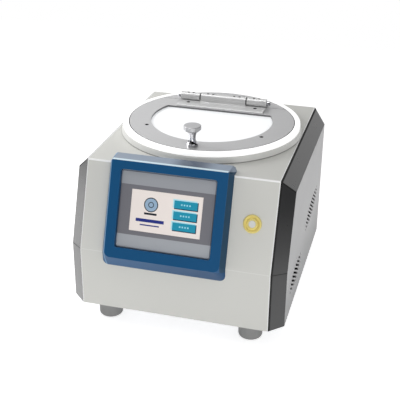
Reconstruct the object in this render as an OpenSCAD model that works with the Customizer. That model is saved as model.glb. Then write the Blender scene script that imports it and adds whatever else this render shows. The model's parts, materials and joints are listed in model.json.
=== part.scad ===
// Bench-top spin coater: a bevelled housing with a sloping front, a touch screen in a raised
// frame, a lit power button and a round hinged lid over a white bowl with a vacuum chuck.
// Sizes in millimetres. The origin is under the middle of the machine, on the floor.

/* [Housing] */
// Width over the two side panels
body_w = 294; // [292:1:312]
// Depth from the lower front panel to the back panel
body_d = 322.7; // [321:0.1:345]
// Height of the upright lower front panel
front_low_h = 84; // [80:1:96]
// Length of the sloping upper front panel
front_slant = 120.7; // [118:0.1:130]
// Lean of the sloping panel from upright, in degrees
front_lean = 20; // [18:0.5:22]
// Width of the 45 degree bevel round each side
bevel = 18.5; // [15:0.5:18.5]
// Thickness of the sheet metal covers
sheet = 2; // [1.5:0.1:2.5]
// Thickness of the base plate
base_t = 3; // [2:0.5:4]
// Width of the inner lips that carry the covers
lip_w = 8; // [6:1:10]

/* [Feet] */
// Radius of a foot
foot_r = 16.3; // [14:0.1:18]
// Height of a foot
foot_h = 28.9; // [20:0.1:32]
// Distance of a foot's axis from the housing's side
foot_side = 47.35; // [40:0.05:52]
// Distance of a foot's axis from the front and back panels
foot_inset = 30.4; // [26:0.1:40]
// Rounding of a foot's lower edge
foot_round = 4; // [2:0.5:6]

/* [Bowl] */
// Least gap between the collar's foot and the bevel beside it
collar_side = 0.6; // [0.4:0.1:3]
// Distance from the roof's front edge to the collar's foot
collar_front = 22.16; // [20:0.02:26]
// Distance from the collar's foot to the housing's back
collar_back = 3.46; // [3:0.02:8]
// Height of the collar above the roof
collar_h = 8.8; // [7:0.1:10]
// How much narrower the collar is at its top
collar_taper = 1.3; // [1:0.1:2]
// Width of the collar at its foot
collar_w = 9.6; // [9:0.1:10]
// How much narrower the bowl's rim is than the collar's foot
rim_in = 2.7; // [2.4:0.1:3.5]
// Width of the white rim's top
rim_w = 7.6; // [7:0.1:8.5]
// Height of the bowl's rim above the collar
rim_h = 5.44; // [5:0.02:7]
// How far the flange reaches down inside the collar
flange_drop = 4.6; // [4:0.1:6]
// Width of the lid's seat, from the lid's edge to the bowl's wall
seat_w = 12.5; // [11:0.5:14]
// Depth of the bowl below the lid seat
bowl_depth = 88; // [80:1:92]
// Wall thickness of the bowl
bowl_wall = 3; // [2.5:0.1:4]
// Slope at the foot of the bowl's wall
bowl_corner = 3; // [2:0.5:4]
// Rise of the bowl's floor towards its hub
floor_rise = 3; // [2:0.5:4]
// Radius of the hole in the bowl's hub
hub_r = 24; // [22:0.5:28]
// Height of the lip round the hub's hole
hub_lip = 9; // [6:0.5:12]
// Distance from the lid's edge to the seal's inner edge
seal_in = 5.5; // [4.5:0.1:6]
// Width of the lid seal
seal_w = 3.5; // [3:0.1:4]
// Depth of the seal's groove
seal_groove = 1.2; // [0.8:0.1:1.4]

/* [Lid] */
// Thickness of the lid plate
lid_t = 3; // [2.5:0.1:3.5]
// Gap round the lid plate
lid_gap = 1.1; // [0.9:0.1:1.4]
// Gap between the lid plate and its seat
seat_gap = 1.1; // [0.9:0.1:1.4]
// Width of the lid plate round its window
lid_ring_w = 30.3; // [26:0.1:34]
// Distance from the hinge axis to the window's straight edge
window_back = 30.5; // [29:0.5:34]
// Thickness of the window pane
pane_t = 3; // [2:0.5:4]
// Gap between the window pane and the bowl's wall
pane_gap = 4; // [3:0.5:5]
// Distance from the hinge axis to the pane's straight edge
pane_back = 8.5; // [7:0.5:10]
// Direction of the lid screws from the bowl's axis, in degrees in front of the side
lid_screw_angle = 29.8; // [25:0.1:35]
// Radius of a lid screw's head
screw_head_r = 2.7; // [2.4:0.1:3]
// Radius of a lid screw's shank
screw_r = 1.9; // [1.5:0.1:2]
// Depth of a lid screw's head
screw_head_t = 1.6; // [1.4:0.1:1.8]

/* [Hinge] */
// Distance from the lid's back edge, if it were whole, to the hinge axis
hinge_in = 47; // [44:0.5:50]
// Height of the hinge axis above the lid plate
hinge_rise = 6.5; // [6.5:0.1:7]
// Radius of the hinge barrel
barrel_r = 6.1; // [5.5:0.1:6.1]
// Half length of the hinge
hinge_half = 65; // [60:1:68]
// Half length of the middle knuckle, to the middle of its end gap
knuckle_half = 35; // [30:1:36]
// Gap between knuckles
knuckle_gap = 0.8; // [0.4:0.1:1.2]
// Thickness of the hinge leaves
leaf_t = 2; // [1.6:0.1:2]
// Reach of the lid's leaf in front of the hinge axis
leaf_reach = 28.5; // [26:0.5:30]
// Reach of the fixed leaf behind the hinge axis
base_reach = 19.5; // [17:0.5:20]
// Radius of the hinge pin
pin_r = 3; // [2.5:0.1:3.2]
// Radius of the domed pin ends
pin_cap_r = 3.3; // [3.3:0.1:3.6]
// Length of a pin end beyond the barrel
pin_cap_l = 6; // [4:0.5:7]
// Gap along the break between the lid plate and the fixed plate
plate_break = 1; // [0.8:0.1:1.4]
// Distance of the leaf screws from the hinge's ends
leaf_screw_end = 14.5; // [11:0.5:18]
// Distance of the leaf screws in front of the hinge axis
leaf_screw_in = 14.2; // [12:0.1:16]

/* [Knob] */
// Radius of the knob's head over its corners
knob_r = 12; // [11:0.1:14]
// Thickness of the knob's head
knob_head_h = 7.5; // [6:0.5:9]
// Height of the knob's stem
knob_stem_h = 20.5; // [18:0.5:24]
// Radius of the knob's foot
knob_foot_r = 7.8; // [7:0.1:9]
// Radius of the stem at its waist
knob_waist_r = 4.6; // [4:0.1:5.5]

/* [Screen] */
// Space between the left bevel and the screen frame
space_left = 31.5; // [26:0.5:36]
// Space between the screen frame and the button
space_mid = 16.4; // [14:0.1:20]
// Space between the button's nut and the right inner lip
space_right = 9.5; // [6:0.1:13]
// Width of the screen frame's face
frame_face_w = 155; // [150:1:160]
// Width of the screen frame at the housing
frame_base_w = 167; // [163:1:172]
// Lower edge of the face, measured up the slope from the crease
frame_low = -3.5; // [-6:0.5:0]
// Depth of the frame's top, measured back from its front edge
frame_top_depth = 23; // [18:1:24]
// Thickness of the frame off the sloping panel
frame_t = 12; // [10:0.5:14]
// Height of the frame's lower edge on the upright panel
frame_foot_z = 66; // [60:1:72]
// Rounding of the face's lower corners
frame_round = 8; // [5:0.5:11]
// Height of the frame's top above the roof
frame_top_rise = 7.6; // [6:0.2:9]
// Width of the screen unit's bezel
hmi_w = 128; // [126:0.5:130]
// Height of the screen unit's bezel
hmi_h = 102; // [100:0.5:104]
// Rounding of the bezel's corners
hmi_round = 3; // [2:0.5:5]
// Middle of the screen unit, measured up the slope from the crease
hmi_l = 62; // [61:0.1:63]
// Depth of the bezel's face below the frame's face
hmi_recess = 4; // [2:0.5:5]
// Width of the display's active area
display_w = 95.04; // [94:0.02:96]
// Height of the display's active area
display_h = 53.86; // [53:0.02:55]
// Thickness of the display glass
display_t = 1.2; // [0.8:0.1:1.6]
// Depth of the screen unit behind the sloping panel
hmi_depth = 30; // [24:1:34]

/* [Power button] */
// Distance of the button up the slope from the crease
button_l = 62.8; // [50:0.1:75]
// Outer radius of the button's bezel ring
button_r = 12; // [11:0.1:13]
// Height of the bezel ring off the panel
button_rise = 2.2; // [1.6:0.1:3]
// Radius of the moving cap
cap_r = 7.6; // [6.6:0.1:7.8]
// Radius of the lens in the middle of the cap
lens_r = 4.6; // [3.5:0.1:5.2]
// Travel of the cap
cap_travel = 2; // [1:0.5:3]
// Radius of the threaded barrel behind the panel
button_barrel_r = 9.2; // [8.8:0.1:9.6]
// Length of the barrel behind the panel
button_barrel_l = 24; // [20:1:30]

/* [Spindle] */
// Radius of the vacuum chuck
chuck_r = 32; // [25:1:40]
// Height of the chuck's top above the bowl's floor
chuck_rise = 54; // [48:1:60]
// Thickness of the chuck's plate
chuck_t = 6; // [5:0.5:8]
// Radius of the chuck's hub
chuck_hub_r = 11; // [9:0.5:13]
// Length of the chuck's hub below its plate
chuck_hub_l = 16; // [14:1:20]
// Radius of the shaft
shaft_r = 6; // [5:0.5:7]
// Radius of the vacuum passage in the shaft and the chuck
vacuum_r = 1.5; // [1:0.1:2]
// Radial clearance of the shaft in its bearings
run_gap = 0.05; // [0.02:0.01:0.08]
// Radius of the motor
motor_r = 35; // [32:1:40]
// Length of the motor
motor_l = 65; // [60:1:70]
// Outer radius of the bearings
bearing_r = 14; // [13:0.5:16]
// Height of a bearing
bearing_h = 8; // [6:0.5:10]
// Width of the motor's plate, over the bowl's inner radius
plate_share = 1.0577; // [0.95:0.01:1.15]
// Thickness of the motor's plate
plate_t = 6; // [5:0.5:8]
// Gap between the motor's plate and the bowl
plate_gap = 3; // [2:0.5:5]
// Length of the rotary union under the motor
union_l = 22; // [20:1:26]

/* [Back] */
// Space between the left bevel and the power inlet
space_inlet = 4.5; // [4:0.5:8]
// Space between the inlet and the mains switch
space_switch = 8; // [6:0.5:12]
// Space kept for the vacuum valve, beside the switch
space_spigot = 20; // [16:1:24]
// Space between the spigot and the drain
space_drain = 13; // [10:1:16]
// Space between the drain and the fan
space_fan = 11; // [8:1:14]
// Space between the fan and the right bevel
space_end = 26.5; // [20:0.5:32]
// Height of the inlet and the mains switch above the housing's bottom
inlet_z = 40; // [34:1:48]
// Height of the fan's axis above the housing's bottom
fan_z = 80; // [70:1:95]
// Side length of the fan
fan_w = 60; // [60:1:62]
// Thickness of the fan
fan_t = 15; // [12:1:18]
// Height of the vacuum spigot above the housing's bottom
spigot_z = 62; // [56:1:70]
// Radius of the vacuum spigot
spigot_r = 4; // [3:0.1:5]
// Length of the vacuum spigot outside the back panel
spigot_l = 14; // [10:1:15]
// Height of the drain outlet above the housing's bottom
drain_z = 30; // [26:1:34]
// Outer radius of the drain outlet
drain_r = 8; // [7:0.5:9]
// Length of the drain outlet outside the back panel
drain_l = 16; // [14:1:24]

/* [Vents] */
// Width of a vent slot
vent_w = 3; // [2:0.1:3.4]
// Slant of the vent slots, falling to the back, in degrees
vent_slant = 30; // [20:1:40]
// Distance between vent slots
vent_pitch = 7.8; // [7:0.1:8]
// Rise of the row of slots towards the back, in degrees
vent_rise = 14; // [8:1:18]
// Slots in the upper vent
vent_hi_n = 14; // [10:1:14]
// Slots in the lower vent
vent_lo_n = 11; // [8:1:11]
// Length of the longest vent slot
vent_l = 46; // [30:1:48]
// Distance of the upper vent's middle from the back
vent_hi_back = 107.7; // [100:0.1:115]
// Height of the upper vent's middle above the housing's bottom
vent_hi_z = 81; // [76:0.5:90]
// Distance of the lower vent's middle from the front
vent_lo_front = 92; // [85:0.5:100]
// Height of the lower vent's middle above the housing's bottom
vent_lo_z = 40; // [36:0.5:46]

/* [Hidden] */

$fn = 96;
fit = 0.3;
past = 1;
half_w = body_w / 2;
flat_half = half_w - bevel;
foot_x = half_w - foot_side;
roof_z = front_low_h + front_slant * cos(front_lean);
roof_front = front_slant * sin(front_lean);
face_front = frame_low * sin(front_lean) - frame_t * cos(front_lean);
back_reach = body_d + drain_l;
shift_y = -(face_front + back_reach) / 2;
collar_r = min(flat_half - collar_side,
    (body_d - roof_front - collar_front - collar_back) / 2);
bowl_y = body_d - collar_back - collar_r;
collar_in_r = collar_r - collar_w;
rim_r = collar_r - rim_in;
lid_r = rim_r - rim_w - lid_gap;
seal_r = lid_r - seal_in;
bowl_in_r = lid_r - seat_w;
window_r = lid_r - lid_ring_w;
hinge_y = lid_r - hinge_in;
window_chord = hinge_y - window_back;
pane_r = bowl_in_r - pane_gap;
pane_chord = hinge_y - pane_back;
lid_screw_r = window_r + 0.56 * (pane_r - window_r);
leaf_screw_x = hinge_half - leaf_screw_end;
knob_y = (lid_r + window_r) / 2;
button_nut_r = button_barrel_r + 3.4;
button_side = lip_w + button_nut_r;
front_squeeze = (2 * flat_half - frame_base_w - button_r - button_side)
    / (space_left + space_mid + space_right);
frame_x = -flat_half + front_squeeze * space_left + frame_base_w / 2;
button_x = flat_half - front_squeeze * space_right - button_side;
plate_w = plate_share * bowl_in_r;
inlet_w = 48;
inlet_h = 28;
switch_w = 20;
switch_h = 28;
flange_w = 2;
nut_w = 4;
drain_lip = 3;
back_squeeze = (2 * flat_half - inlet_w - switch_w - 4 * flange_w - 2 * (spigot_r + nut_w)
    - 2 * (drain_r + drain_lip) - fan_w)
    / (space_inlet + space_switch + space_spigot + space_drain + space_fan + space_end);
inlet_x = -flat_half + back_squeeze * space_inlet + inlet_w / 2 + flange_w;
switch_x = inlet_x + (inlet_w + switch_w) / 2 + 2 * flange_w + back_squeeze * space_switch;
valve_w = 22;
valve_stub = 3;
tube_bend = plate_w / 11;
tube_x = -plate_w * 0.32727;
spigot_x = tube_x + tube_bend + valve_stub + valve_w / 2;
drain_x = spigot_x + spigot_r + nut_w + back_squeeze * space_drain + drain_r + drain_lip;
fan_x = drain_x + drain_r + drain_lip + back_squeeze * space_fan + fan_w / 2;
rim_z = roof_z + collar_h;
lid_top = rim_z + rim_h;
lid_low = lid_top - lid_t;
seat_z = lid_low - seat_gap;
floor_z = seat_z - bowl_depth;
hinge_z = lid_top + hinge_rise;
chuck_top = floor_z + chuck_rise;
plate_z = floor_z - bowl_wall - plate_gap - plate_t;
motor_z = plate_z - motor_l;
union_z = motor_z - union_l;
shaft_z = motor_z - union_l / 2;
pocket_r = 2;
play = 0.1;

// Everything below is drawn with the housing's bottom corner as origin, then set on its feet.
module placed() {
    translate([0, shift_y, foot_h]) children();
}

// Upright at the bowl's axis, at a height z above the housing's bottom
module at_bowl(z) {
    translate([0, bowl_y, z]) children();
}

// On the sloping panel: x across, l up the slope from the crease, off outwards
module on_slope(x, l, off) {
    translate([x, l * sin(front_lean), front_low_h + l * cos(front_lean)])
        rotate([90 - front_lean, 0, 0]) translate([0, 0, off]) children();
}

// A flat outline in Y and Z, drawn out along X
module along_x(x0, x1) {
    translate([x0, 0, 0]) rotate([90, 0, 90]) linear_extrude(x1 - x0) children();
}

// Side outline of the housing, drawn in by a distance from front, roof and back
function outline(i) = let(
        t = (roof_z - i - front_low_h + i * sin(front_lean)) / cos(front_lean)
    ) [
        [i, 0],
        [i, front_low_h - i * tan(front_lean / 2)],
        [i * cos(front_lean) + t * sin(front_lean), roof_z - i],
        [body_d - i, roof_z - i],
        [body_d - i, 0]
    ];

// Wedge that bevels one edge of the right side, from point p towards point q
module bevel_cut(p, q, depth) {
    reach = body_d + roof_z;
    big = 3 * bevel;
    translate([half_w, p.x, p.y]) rotate([90, 0, 90])
        rotate([0, 0, atan2(q.y - p.y, q.x - p.x)])
            translate([-reach / 4, 0, 0]) rotate([90, 0, 90]) linear_extrude(reach)
                polygon([[depth + big, big], [-big, -depth - big], [-big, big]]);
}

// The housing's bevelled block, drawn in by i, with its bevels drawn in by skin
module block(i, skin) {
    p = outline(0);
    depth = bevel + skin * sqrt(2);
    difference() {
        along_x(-half_w + i, half_w - i) polygon(outline(i));
        for (side = [0, 1]) mirror([side, 0, 0]) {
            bevel_cut(p[4], p[3], depth);
            bevel_cut(p[3], p[2], depth);
            bevel_cut(p[2], p[1], depth);
            bevel_cut(p[1], p[0], depth);
        }
    }
}

module base_plate() {
    slot_l = 60;
    slot_w = 4;
    slot_pitch = 12;
    slots = 5;
    color("silver") placed() difference() {
        intersection() {
            block(sheet, sheet);
            translate([-half_w, 0, 0]) cube([body_w, body_d, base_t]);
        }
        at_feet() cylinder(r = screw_r + fit, h = 4 * base_t, center = true);
        for (k = [0 : slots - 1])
            translate([-slot_l / 2, foot_inset + k * slot_pitch, -past])
                cube([slot_l, slot_w, base_t + 2 * past]);
    }
}

// Bent sheet over the front and the roof
module front_cover() {
    o = outline(0);
    i = outline(sheet);
    color("gainsboro") placed() difference() {
        along_x(-flat_half, flat_half)
            polygon([o[0], o[1], o[2], o[3], i[3] + [sheet, 0], i[2], i[1], i[0]]);
        at_bowl(roof_z) cylinder(r = collar_in_r, h = 6 * sheet, center = true);
        on_slope(frame_x, hmi_l, -2 * sheet)
            linear_extrude(4 * sheet) square([hmi_w - 9, hmi_h - 9], center = true);
        on_slope(button_x, button_l, -2 * sheet)
            cylinder(r = button_barrel_r + fit, h = 4 * sheet);
    }
}

// Bevelled band round the right side, with lips under the cover and behind the side panel
module side_frame_shape() {
    i = outline(sheet);
    j = outline(sheet + sheet);
    difference() {
        intersection() {
            block(0, 0);
            translate([flat_half, 0, 0]) cube([bevel, body_d, roof_z + past]);
        }
        intersection() {
            block(sheet, sheet);
            translate([flat_half - past, 0, -past])
                cube([bevel + past - 2 * sheet, body_d, roof_z]);
        }
        along_x(half_w - sheet, half_w + past) polygon(outline(bevel));
        along_x(half_w - 2 * sheet - past, half_w) polygon(outline(bevel + lip_w));
        intersection() {
            block(sheet, sheet);
            translate([-half_w, 0, 0]) cube([body_w, body_d, base_t]);
        }
    }
    along_x(flat_half - lip_w, flat_half)
        polygon([j[1], i[1], i[2], i[3] - [2 * sheet, 0], j[3] - [sheet, 0], j[2]]);
}

module side_frame_right() {
    color("dimgray") placed() side_frame_shape();
}

module side_frame_left() {
    color("dimgray") placed() mirror([1, 0, 0]) side_frame_shape();
}

// One slot with round ends, along X from the middle
module slot(length, width) {
    square([length - width, width], center = true);
    for (e = [-1, 1]) translate([e * (length - width) / 2, 0]) circle(d = width, $fn = 24);
}

// Cluster of slanted slots, shorter towards its ends, about its own middle
module vent(n) {
    middle = (n - 1) / 2;
    shrink = 0.86;
    for (k = [0 : n - 1]) {
        share = abs(k - middle) / middle;
        rotate([0, 0, vent_rise]) translate([(k - middle) * vent_pitch, 0])
            rotate([0, 0, -vent_rise - vent_slant])
                slot(vent_l * (1 - shrink * share * share), vent_w);
    }
}

module side_panel_shape() {
    hi = [body_d - vent_hi_back, vent_hi_z];
    lo = [vent_lo_front, vent_lo_z];
    difference() {
        along_x(half_w - sheet, half_w) polygon(outline(bevel));
        along_x(half_w - 2 * sheet, half_w + past) {
            translate(hi) vent(vent_hi_n);
            translate(lo) vent(vent_lo_n);
        }
    }
}

module side_panel_right() {
    color("lightgray") placed() side_panel_shape();
}

module side_panel_left() {
    color("lightgray") placed() mirror([1, 0, 0]) side_panel_shape();
}

// On the back panel's outer face: x across, z up, local Z pointing out of the back
module on_back(x, z) {
    translate([x, body_d, z]) rotate([-90, 0, 0]) children();
}

back_screw_x = flat_half - lip_w;
back_screw_low = 10;
back_screw_high = 24;
back_screw_mid = 0.5;
module at_back_screws() {
    high = roof_z - back_screw_high;
    for (x = [-back_screw_x, back_screw_x])
        for (z = [back_screw_low, (back_screw_low + high) * back_screw_mid, high])
            on_back(x, z) children();
}

fan_screw = fan_w / 2 - 5;
module at_fan_screws() {
    for (x = [-1, 1]) for (z = [-1, 1])
        on_back(fan_x + x * fan_screw, fan_z + z * fan_screw) children();
}

grille_pitch = 7;
grille_rings = 3;
module back_panel() {
    color("lightgray") placed() difference() {
        translate([-flat_half, body_d - sheet, 0])
            cube([2 * flat_half, sheet, roof_z - sheet]);
        at_back_screws() cylinder(r = screw_r + fit, h = 4 * sheet, center = true);
        at_fan_screws() cylinder(r = screw_r + fit, h = 4 * sheet, center = true);
        for (a = [-grille_rings : grille_rings], b = [-grille_rings : grille_rings])
            if (abs(a + b) <= grille_rings)
                on_back(fan_x + (a + b / 2) * grille_pitch, fan_z + b * grille_pitch * sqrt(3) / 2)
                    cylinder(r = grille_pitch * 0.38, h = 4 * sheet, center = true, $fn = 32);
        on_back(inlet_x, inlet_z) linear_extrude(4 * sheet, center = true)
            square([inlet_w + 2 * fit, inlet_h + 2 * fit], center = true);
        on_back(switch_x, inlet_z) linear_extrude(4 * sheet, center = true)
            square([switch_w + 2 * fit, switch_h + 2 * fit], center = true);
        on_back(spigot_x, spigot_z) cylinder(r = spigot_r + 2 + fit, h = 4 * sheet, center = true);
        on_back(drain_x, drain_z) cylinder(r = pipe_r + fit, h = 4 * sheet, center = true);
    }
}

// Pan head screw with a cross slot, its head standing on z = 0 and its shank below
module pan_screw(head_r, head_h, shank_r, shank_l) {
    difference() {
        union() {
            cylinder(r1 = head_r, r2 = head_r * 0.8, h = head_h, $fn = 40);
            translate([0, 0, -shank_l]) cylinder(r = shank_r, h = shank_l + head_h / 2, $fn = 32);
        }
        for (a = [0, 90]) rotate([0, 0, a])
            translate([-head_r * 0.55, -head_r * 0.12, head_h * 0.45])
                cube([head_r * 1.1, head_r * 0.24, head_h]);
    }
}

module back_screws() {
    color("dimgray") placed() {
        at_back_screws() pan_screw(3.4, 1.8, screw_r, 2 * sheet);
        at_fan_screws() pan_screw(3.2, 1.8, screw_r - play, sheet + fan_t);
    }
}

module at_feet() {
    for (x = [-foot_x, foot_x]) for (y = [foot_inset, body_d - foot_inset])
        translate([x, y, 0]) children();
}

foot_bore = 14;
module feet() {
    color("gray") placed() at_feet() difference() {
        rotate_extrude($fn = 64) union() {
            translate([0, -foot_h + foot_round]) square([foot_r, foot_h - foot_round]);
            translate([0, -foot_h]) square([foot_r - foot_round, foot_round + past]);
            translate([foot_r - foot_round, -foot_h + foot_round]) circle(foot_round, $fn = 48);
        }
        translate([0, 0, -foot_bore]) cylinder(r = screw_r + fit / 2, h = foot_bore + past, $fn = 32);
    }
}

module foot_screws() {
    color("dimgray") placed() at_feet() translate([0, 0, base_t])
        pan_screw(4.5, 2.4, screw_r, base_t + foot_bore - past);
}

// Painted ring on the roof that carries the bowl
module collar() {
    color("gainsboro") placed() at_bowl(0) rotate_extrude($fn = 180)
        polygon([
            [collar_in_r, roof_z],
            [collar_r, roof_z],
            [collar_r, roof_z + 1.5],
            [collar_r - collar_taper, rim_z - 1],
            [collar_r - collar_taper - 0.6, rim_z],
            [collar_in_r, rim_z]
        ]);
}

// Place of the drain hole in the bowl's floor
pipe_r = drain_r - 1;
drain_bore = drain_r - 2;
drain_boss = 4;
drain_ring = bowl_in_r - bowl_corner - drain_r - drain_boss;
drain_back = sqrt(drain_ring * drain_ring - drain_x * drain_x);
module at_drain(z) {
    translate([drain_x, bowl_y + drain_back, z]) children();
}

wall_r = bowl_in_r + bowl_wall;
flange_z = rim_z - flange_drop;
// White ring that lies on the collar and carries the lid's seat
module bowl_rim() {
    edge = 0.8;
    color("white") placed() difference() {
        at_bowl(0) rotate_extrude($fn = 180) polygon([
            [rim_r, rim_z],
            [rim_r, lid_top - edge],
            [rim_r - edge / 3, lid_top - edge / 3],
            [rim_r - edge, lid_top],
            [lid_r + lid_gap, lid_top],
            [lid_r + lid_gap, seat_z],
            [seal_r + seal_w, seat_z],
            [seal_r + seal_w, seat_z - seal_groove],
            [seal_r, seat_z - seal_groove],
            [seal_r, seat_z],
            [bowl_in_r, seat_z],
            [bowl_in_r, flange_z],
            [collar_in_r - fit, flange_z],
            [collar_in_r - fit, rim_z]
        ]);
        at_rear_screws() cylinder(r = screw_r + play, h = 6 * lid_t, center = true, $fn = 32);
    }
}

module bowl_wall() {
    foot = floor_z + bowl_corner;
    color("white") placed() at_bowl(foot) rotate_extrude($fn = 180)
        translate([bowl_in_r, 0]) square([bowl_wall, flange_z - foot]);
}

module bowl_floor() {
    lift = floor_z + floor_rise;
    color("white") placed() difference() {
        union() {
            at_bowl(0) rotate_extrude($fn = 180) polygon([
                [bowl_in_r, floor_z + bowl_corner],
                [bowl_in_r - bowl_corner, floor_z],
                [hub_r + bowl_wall, lift],
                [hub_r, lift],
                [hub_r, lift - bowl_wall],
                [bowl_in_r - bowl_corner, floor_z - bowl_wall],
                [wall_r, floor_z - bowl_wall + bowl_corner],
                [wall_r, floor_z + bowl_corner]
            ]);
            at_drain(floor_z - bowl_wall - drain_boss)
                cylinder(r = drain_r + 2, h = drain_boss + 2);
        }
        at_drain(floor_z - bowl_wall - drain_boss - past)
            cylinder(r = drain_bore, h = drain_boss + bowl_wall + floor_rise + 2 * past);
    }
}

// Lip round the hub's hole
module bowl_hub() {
    color("white") placed() at_bowl(floor_z + floor_rise) rotate_extrude()
        translate([hub_r, 0]) square([bowl_wall, hub_lip]);
}

// Seal in its groove, with a thin lip up the gap round the lid
module lid_seal() {
    low = seat_z - seal_groove;
    high = seat_z + seat_gap - fit / 2;
    r0 = seal_r + fit / 3;
    r1 = seal_r + seal_w - fit / 3;
    lip_r = lid_r + lid_gap - 0.05;
    lip_t = 0.5;
    color("black") placed() at_bowl(0) rotate_extrude($fn = 180) polygon([
        [r0, low], [r1, low], [r1, seat_z], [lip_r, seat_z], [lip_r, lid_top - lip_t],
        [lip_r - lip_t, lid_top - lip_t], [lip_r - lip_t, seat_z + lip_t], [r1, seat_z + lip_t],
        [r1, high], [r0, high]
    ]);
}

// Pipe from the bowl's floor down and out through the back panel, with a flanged outlet
module drain_pipe() {
    bend = 2 * drain_r;
    flange_t = 2;
    top = floor_z - bowl_wall - drain_boss;
    y = bowl_y + drain_back;
    color("white") placed() {
        at_drain(drain_z + bend) difference() {
            cylinder(r = pipe_r, h = top - drain_z - bend);
            translate([0, 0, -past]) cylinder(r = drain_bore, h = top);
        }
        translate([drain_x, y + bend, drain_z + bend]) rotate([0, 90, 0]) rotate([0, 0, -90])
            rotate_extrude(angle = 90) translate([bend, 0]) difference() {
                circle(pipe_r);
                circle(drain_bore);
            }
        translate([drain_x, y + bend, drain_z]) rotate([-90, 0, 0]) difference() {
            union() {
                cylinder(r = pipe_r, h = back_reach - y - bend);
                translate([0, 0, body_d - y - bend]) {
                    cylinder(r = drain_r + drain_lip, h = flange_t);
                    cylinder(r = drain_r, h = drain_l);
                }
            }
            translate([0, 0, -past]) cylinder(r = drain_bore, h = back_reach);
        }
    }
}

// Flat outline with rounded corners, about its middle
module rounded(w, h, r) {
    offset(r = r, $fn = 32) square([w - 2 * r, h - 2 * r], center = true);
}

// Raised frame round the screen, folded over the crease and the roof's front edge
module screen_frame() {
    thin = 0.5;
    top = roof_z + frame_top_rise;
    face_l = (top - front_low_h + frame_t * -sin(front_lean)) / cos(front_lean);
    pocket = 0.3;
    color("steelblue") placed() difference() {
        hull() {
            for (x = [-1, 1]) {
                on_slope(frame_x + x * (frame_face_w / 2 - frame_round), frame_low + frame_round,
                    frame_t - thin) cylinder(r = frame_round, h = thin, $fn = 32);
                on_slope(frame_x + x * (frame_face_w / 2 - 2), face_l - 2, frame_t - thin)
                    cylinder(r = 2, h = thin, $fn = 32);
                translate([frame_x + x * (frame_base_w - thin) / 2, 0, front_low_h])
                    cube(thin, center = true);
                translate([frame_x + x * (frame_base_w / 2 - frame_round), 0, frame_foot_z + frame_round])
                    rotate([-90, 0, 0]) cylinder(r = frame_round, h = thin, $fn = 32);
            }
            translate([frame_x - frame_base_w / 2, roof_front + 1, roof_z - 2])
                cube([frame_base_w, frame_top_depth - 10, thin]);
            translate([frame_x - frame_face_w / 2, 0, roof_z]) {
                translate([0, roof_front - 6, frame_top_rise - thin])
                    cube([frame_face_w, frame_top_depth - 4, thin]);
                translate([-3, roof_front + frame_top_depth - 10, 0])
                    cube([frame_face_w + 6, 1, frame_top_rise - 2]);
            }
        }
        along_x(-half_w, half_w) polygon(outline(0));
        on_slope(frame_x, hmi_l, -sheet) linear_extrude(2 * frame_t)
            rounded(hmi_w + 2 * pocket, hmi_h + 2 * pocket, hmi_round + pocket);
    }
}

bezel_t = frame_t - hmi_recess;
module hmi_bezel() {
    step = 1.5;
    color("slategray") placed() difference() {
        on_slope(frame_x, hmi_l, 0) union() {
            linear_extrude(bezel_t - step) rounded(hmi_w, hmi_h, hmi_round);
            linear_extrude(bezel_t) rounded(hmi_w - 2 * step, hmi_h - 2 * step, hmi_round - step / 2);
        }
        on_slope(frame_x, hmi_l, bezel_t - display_t) linear_extrude(display_t + past)
            square([display_w + 0.4, display_h + 0.4], center = true);
    }
}

module hmi_display() {
    color("whitesmoke") placed() on_slope(frame_x, hmi_l, bezel_t - display_t)
        linear_extrude(display_t - 0.2) square([display_w, display_h], center = true);
}

module hmi_case() {
    port_w = 12;
    color("dimgray") placed() on_slope(frame_x, hmi_l, -hmi_depth) difference() {
        linear_extrude(hmi_depth) square([hmi_w - 10, hmi_h - 10], center = true);
        for (k = [-1, 1])
            translate([k * 2 * port_w - port_w / 2, -hmi_h / 2, 4]) cube([port_w, 12, 8]);
    }
}

// Gold ring with the threaded barrel that passes through the panel, and a stop under the cap
cap_t = 6;
cap_proud = button_rise + 0.4;
module button_bezel() {
    stop = cap_proud - cap_t - cap_travel - fit;
    color("goldenrod") placed() on_slope(button_x, button_l, 0) rotate_extrude() polygon([
        [lens_r, -button_barrel_l],
        [button_barrel_r, -button_barrel_l],
        [button_barrel_r, 0],
        [button_r, 0],
        [button_r, button_rise * 0.5],
        [button_r - 0.9, button_rise],
        [button_r - 2.4, button_rise],
        [cap_r + 0.9, button_rise * 0.35],
        [cap_r + play, button_rise * 0.35],
        [cap_r + play, stop],
        [lens_r, stop]
    ]);
}

module button_nut() {
    color("goldenrod") placed() on_slope(button_x, button_l, -sheet - 4) difference() {
        cylinder(r = button_nut_r, h = 4, $fn = 6);
        translate([0, 0, -past]) cylinder(r = button_barrel_r + 0.05, h = 4 + 2 * past);
    }
}

module button_cap() {
    color("gold") placed() on_slope(button_x, button_l, cap_proud - cap_t) difference() {
        rotate_extrude() polygon([
            [0, 0], [cap_r, 0], [cap_r, cap_t - 1], [cap_r - 1, cap_t], [0, cap_t]
        ]);
        translate([0, 0, cap_t - 1]) cylinder(r = lens_r + 0.05, h = 1 + past);
    }
}

module button_lens() {
    color("lightgray") placed() on_slope(button_x, button_l, cap_proud - 1) rotate_extrude()
        polygon([[0, 0], [lens_r, 0], [lens_r, 0.9], [lens_r - 0.4, 1.3], [0, 1.3]]);
}

// Disc cut off behind a chord
module chord_disc(r, chord) {
    intersection() {
        circle(r, $fn = 180);
        translate([-2 * r, -2 * r]) square([4 * r, 2 * r + chord]);
    }
}

module at_lid_screws() {
    for (side = [-1, 1]) translate([side * lid_screw_r * cos(lid_screw_angle),
        bowl_y - lid_screw_r * sin(lid_screw_angle), 0]) children();
}

module at_leaf_screws() {
    for (x = [-leaf_screw_x, leaf_screw_x])
        translate([x, bowl_y + hinge_y - leaf_screw_in, 0]) children();
}

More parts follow.
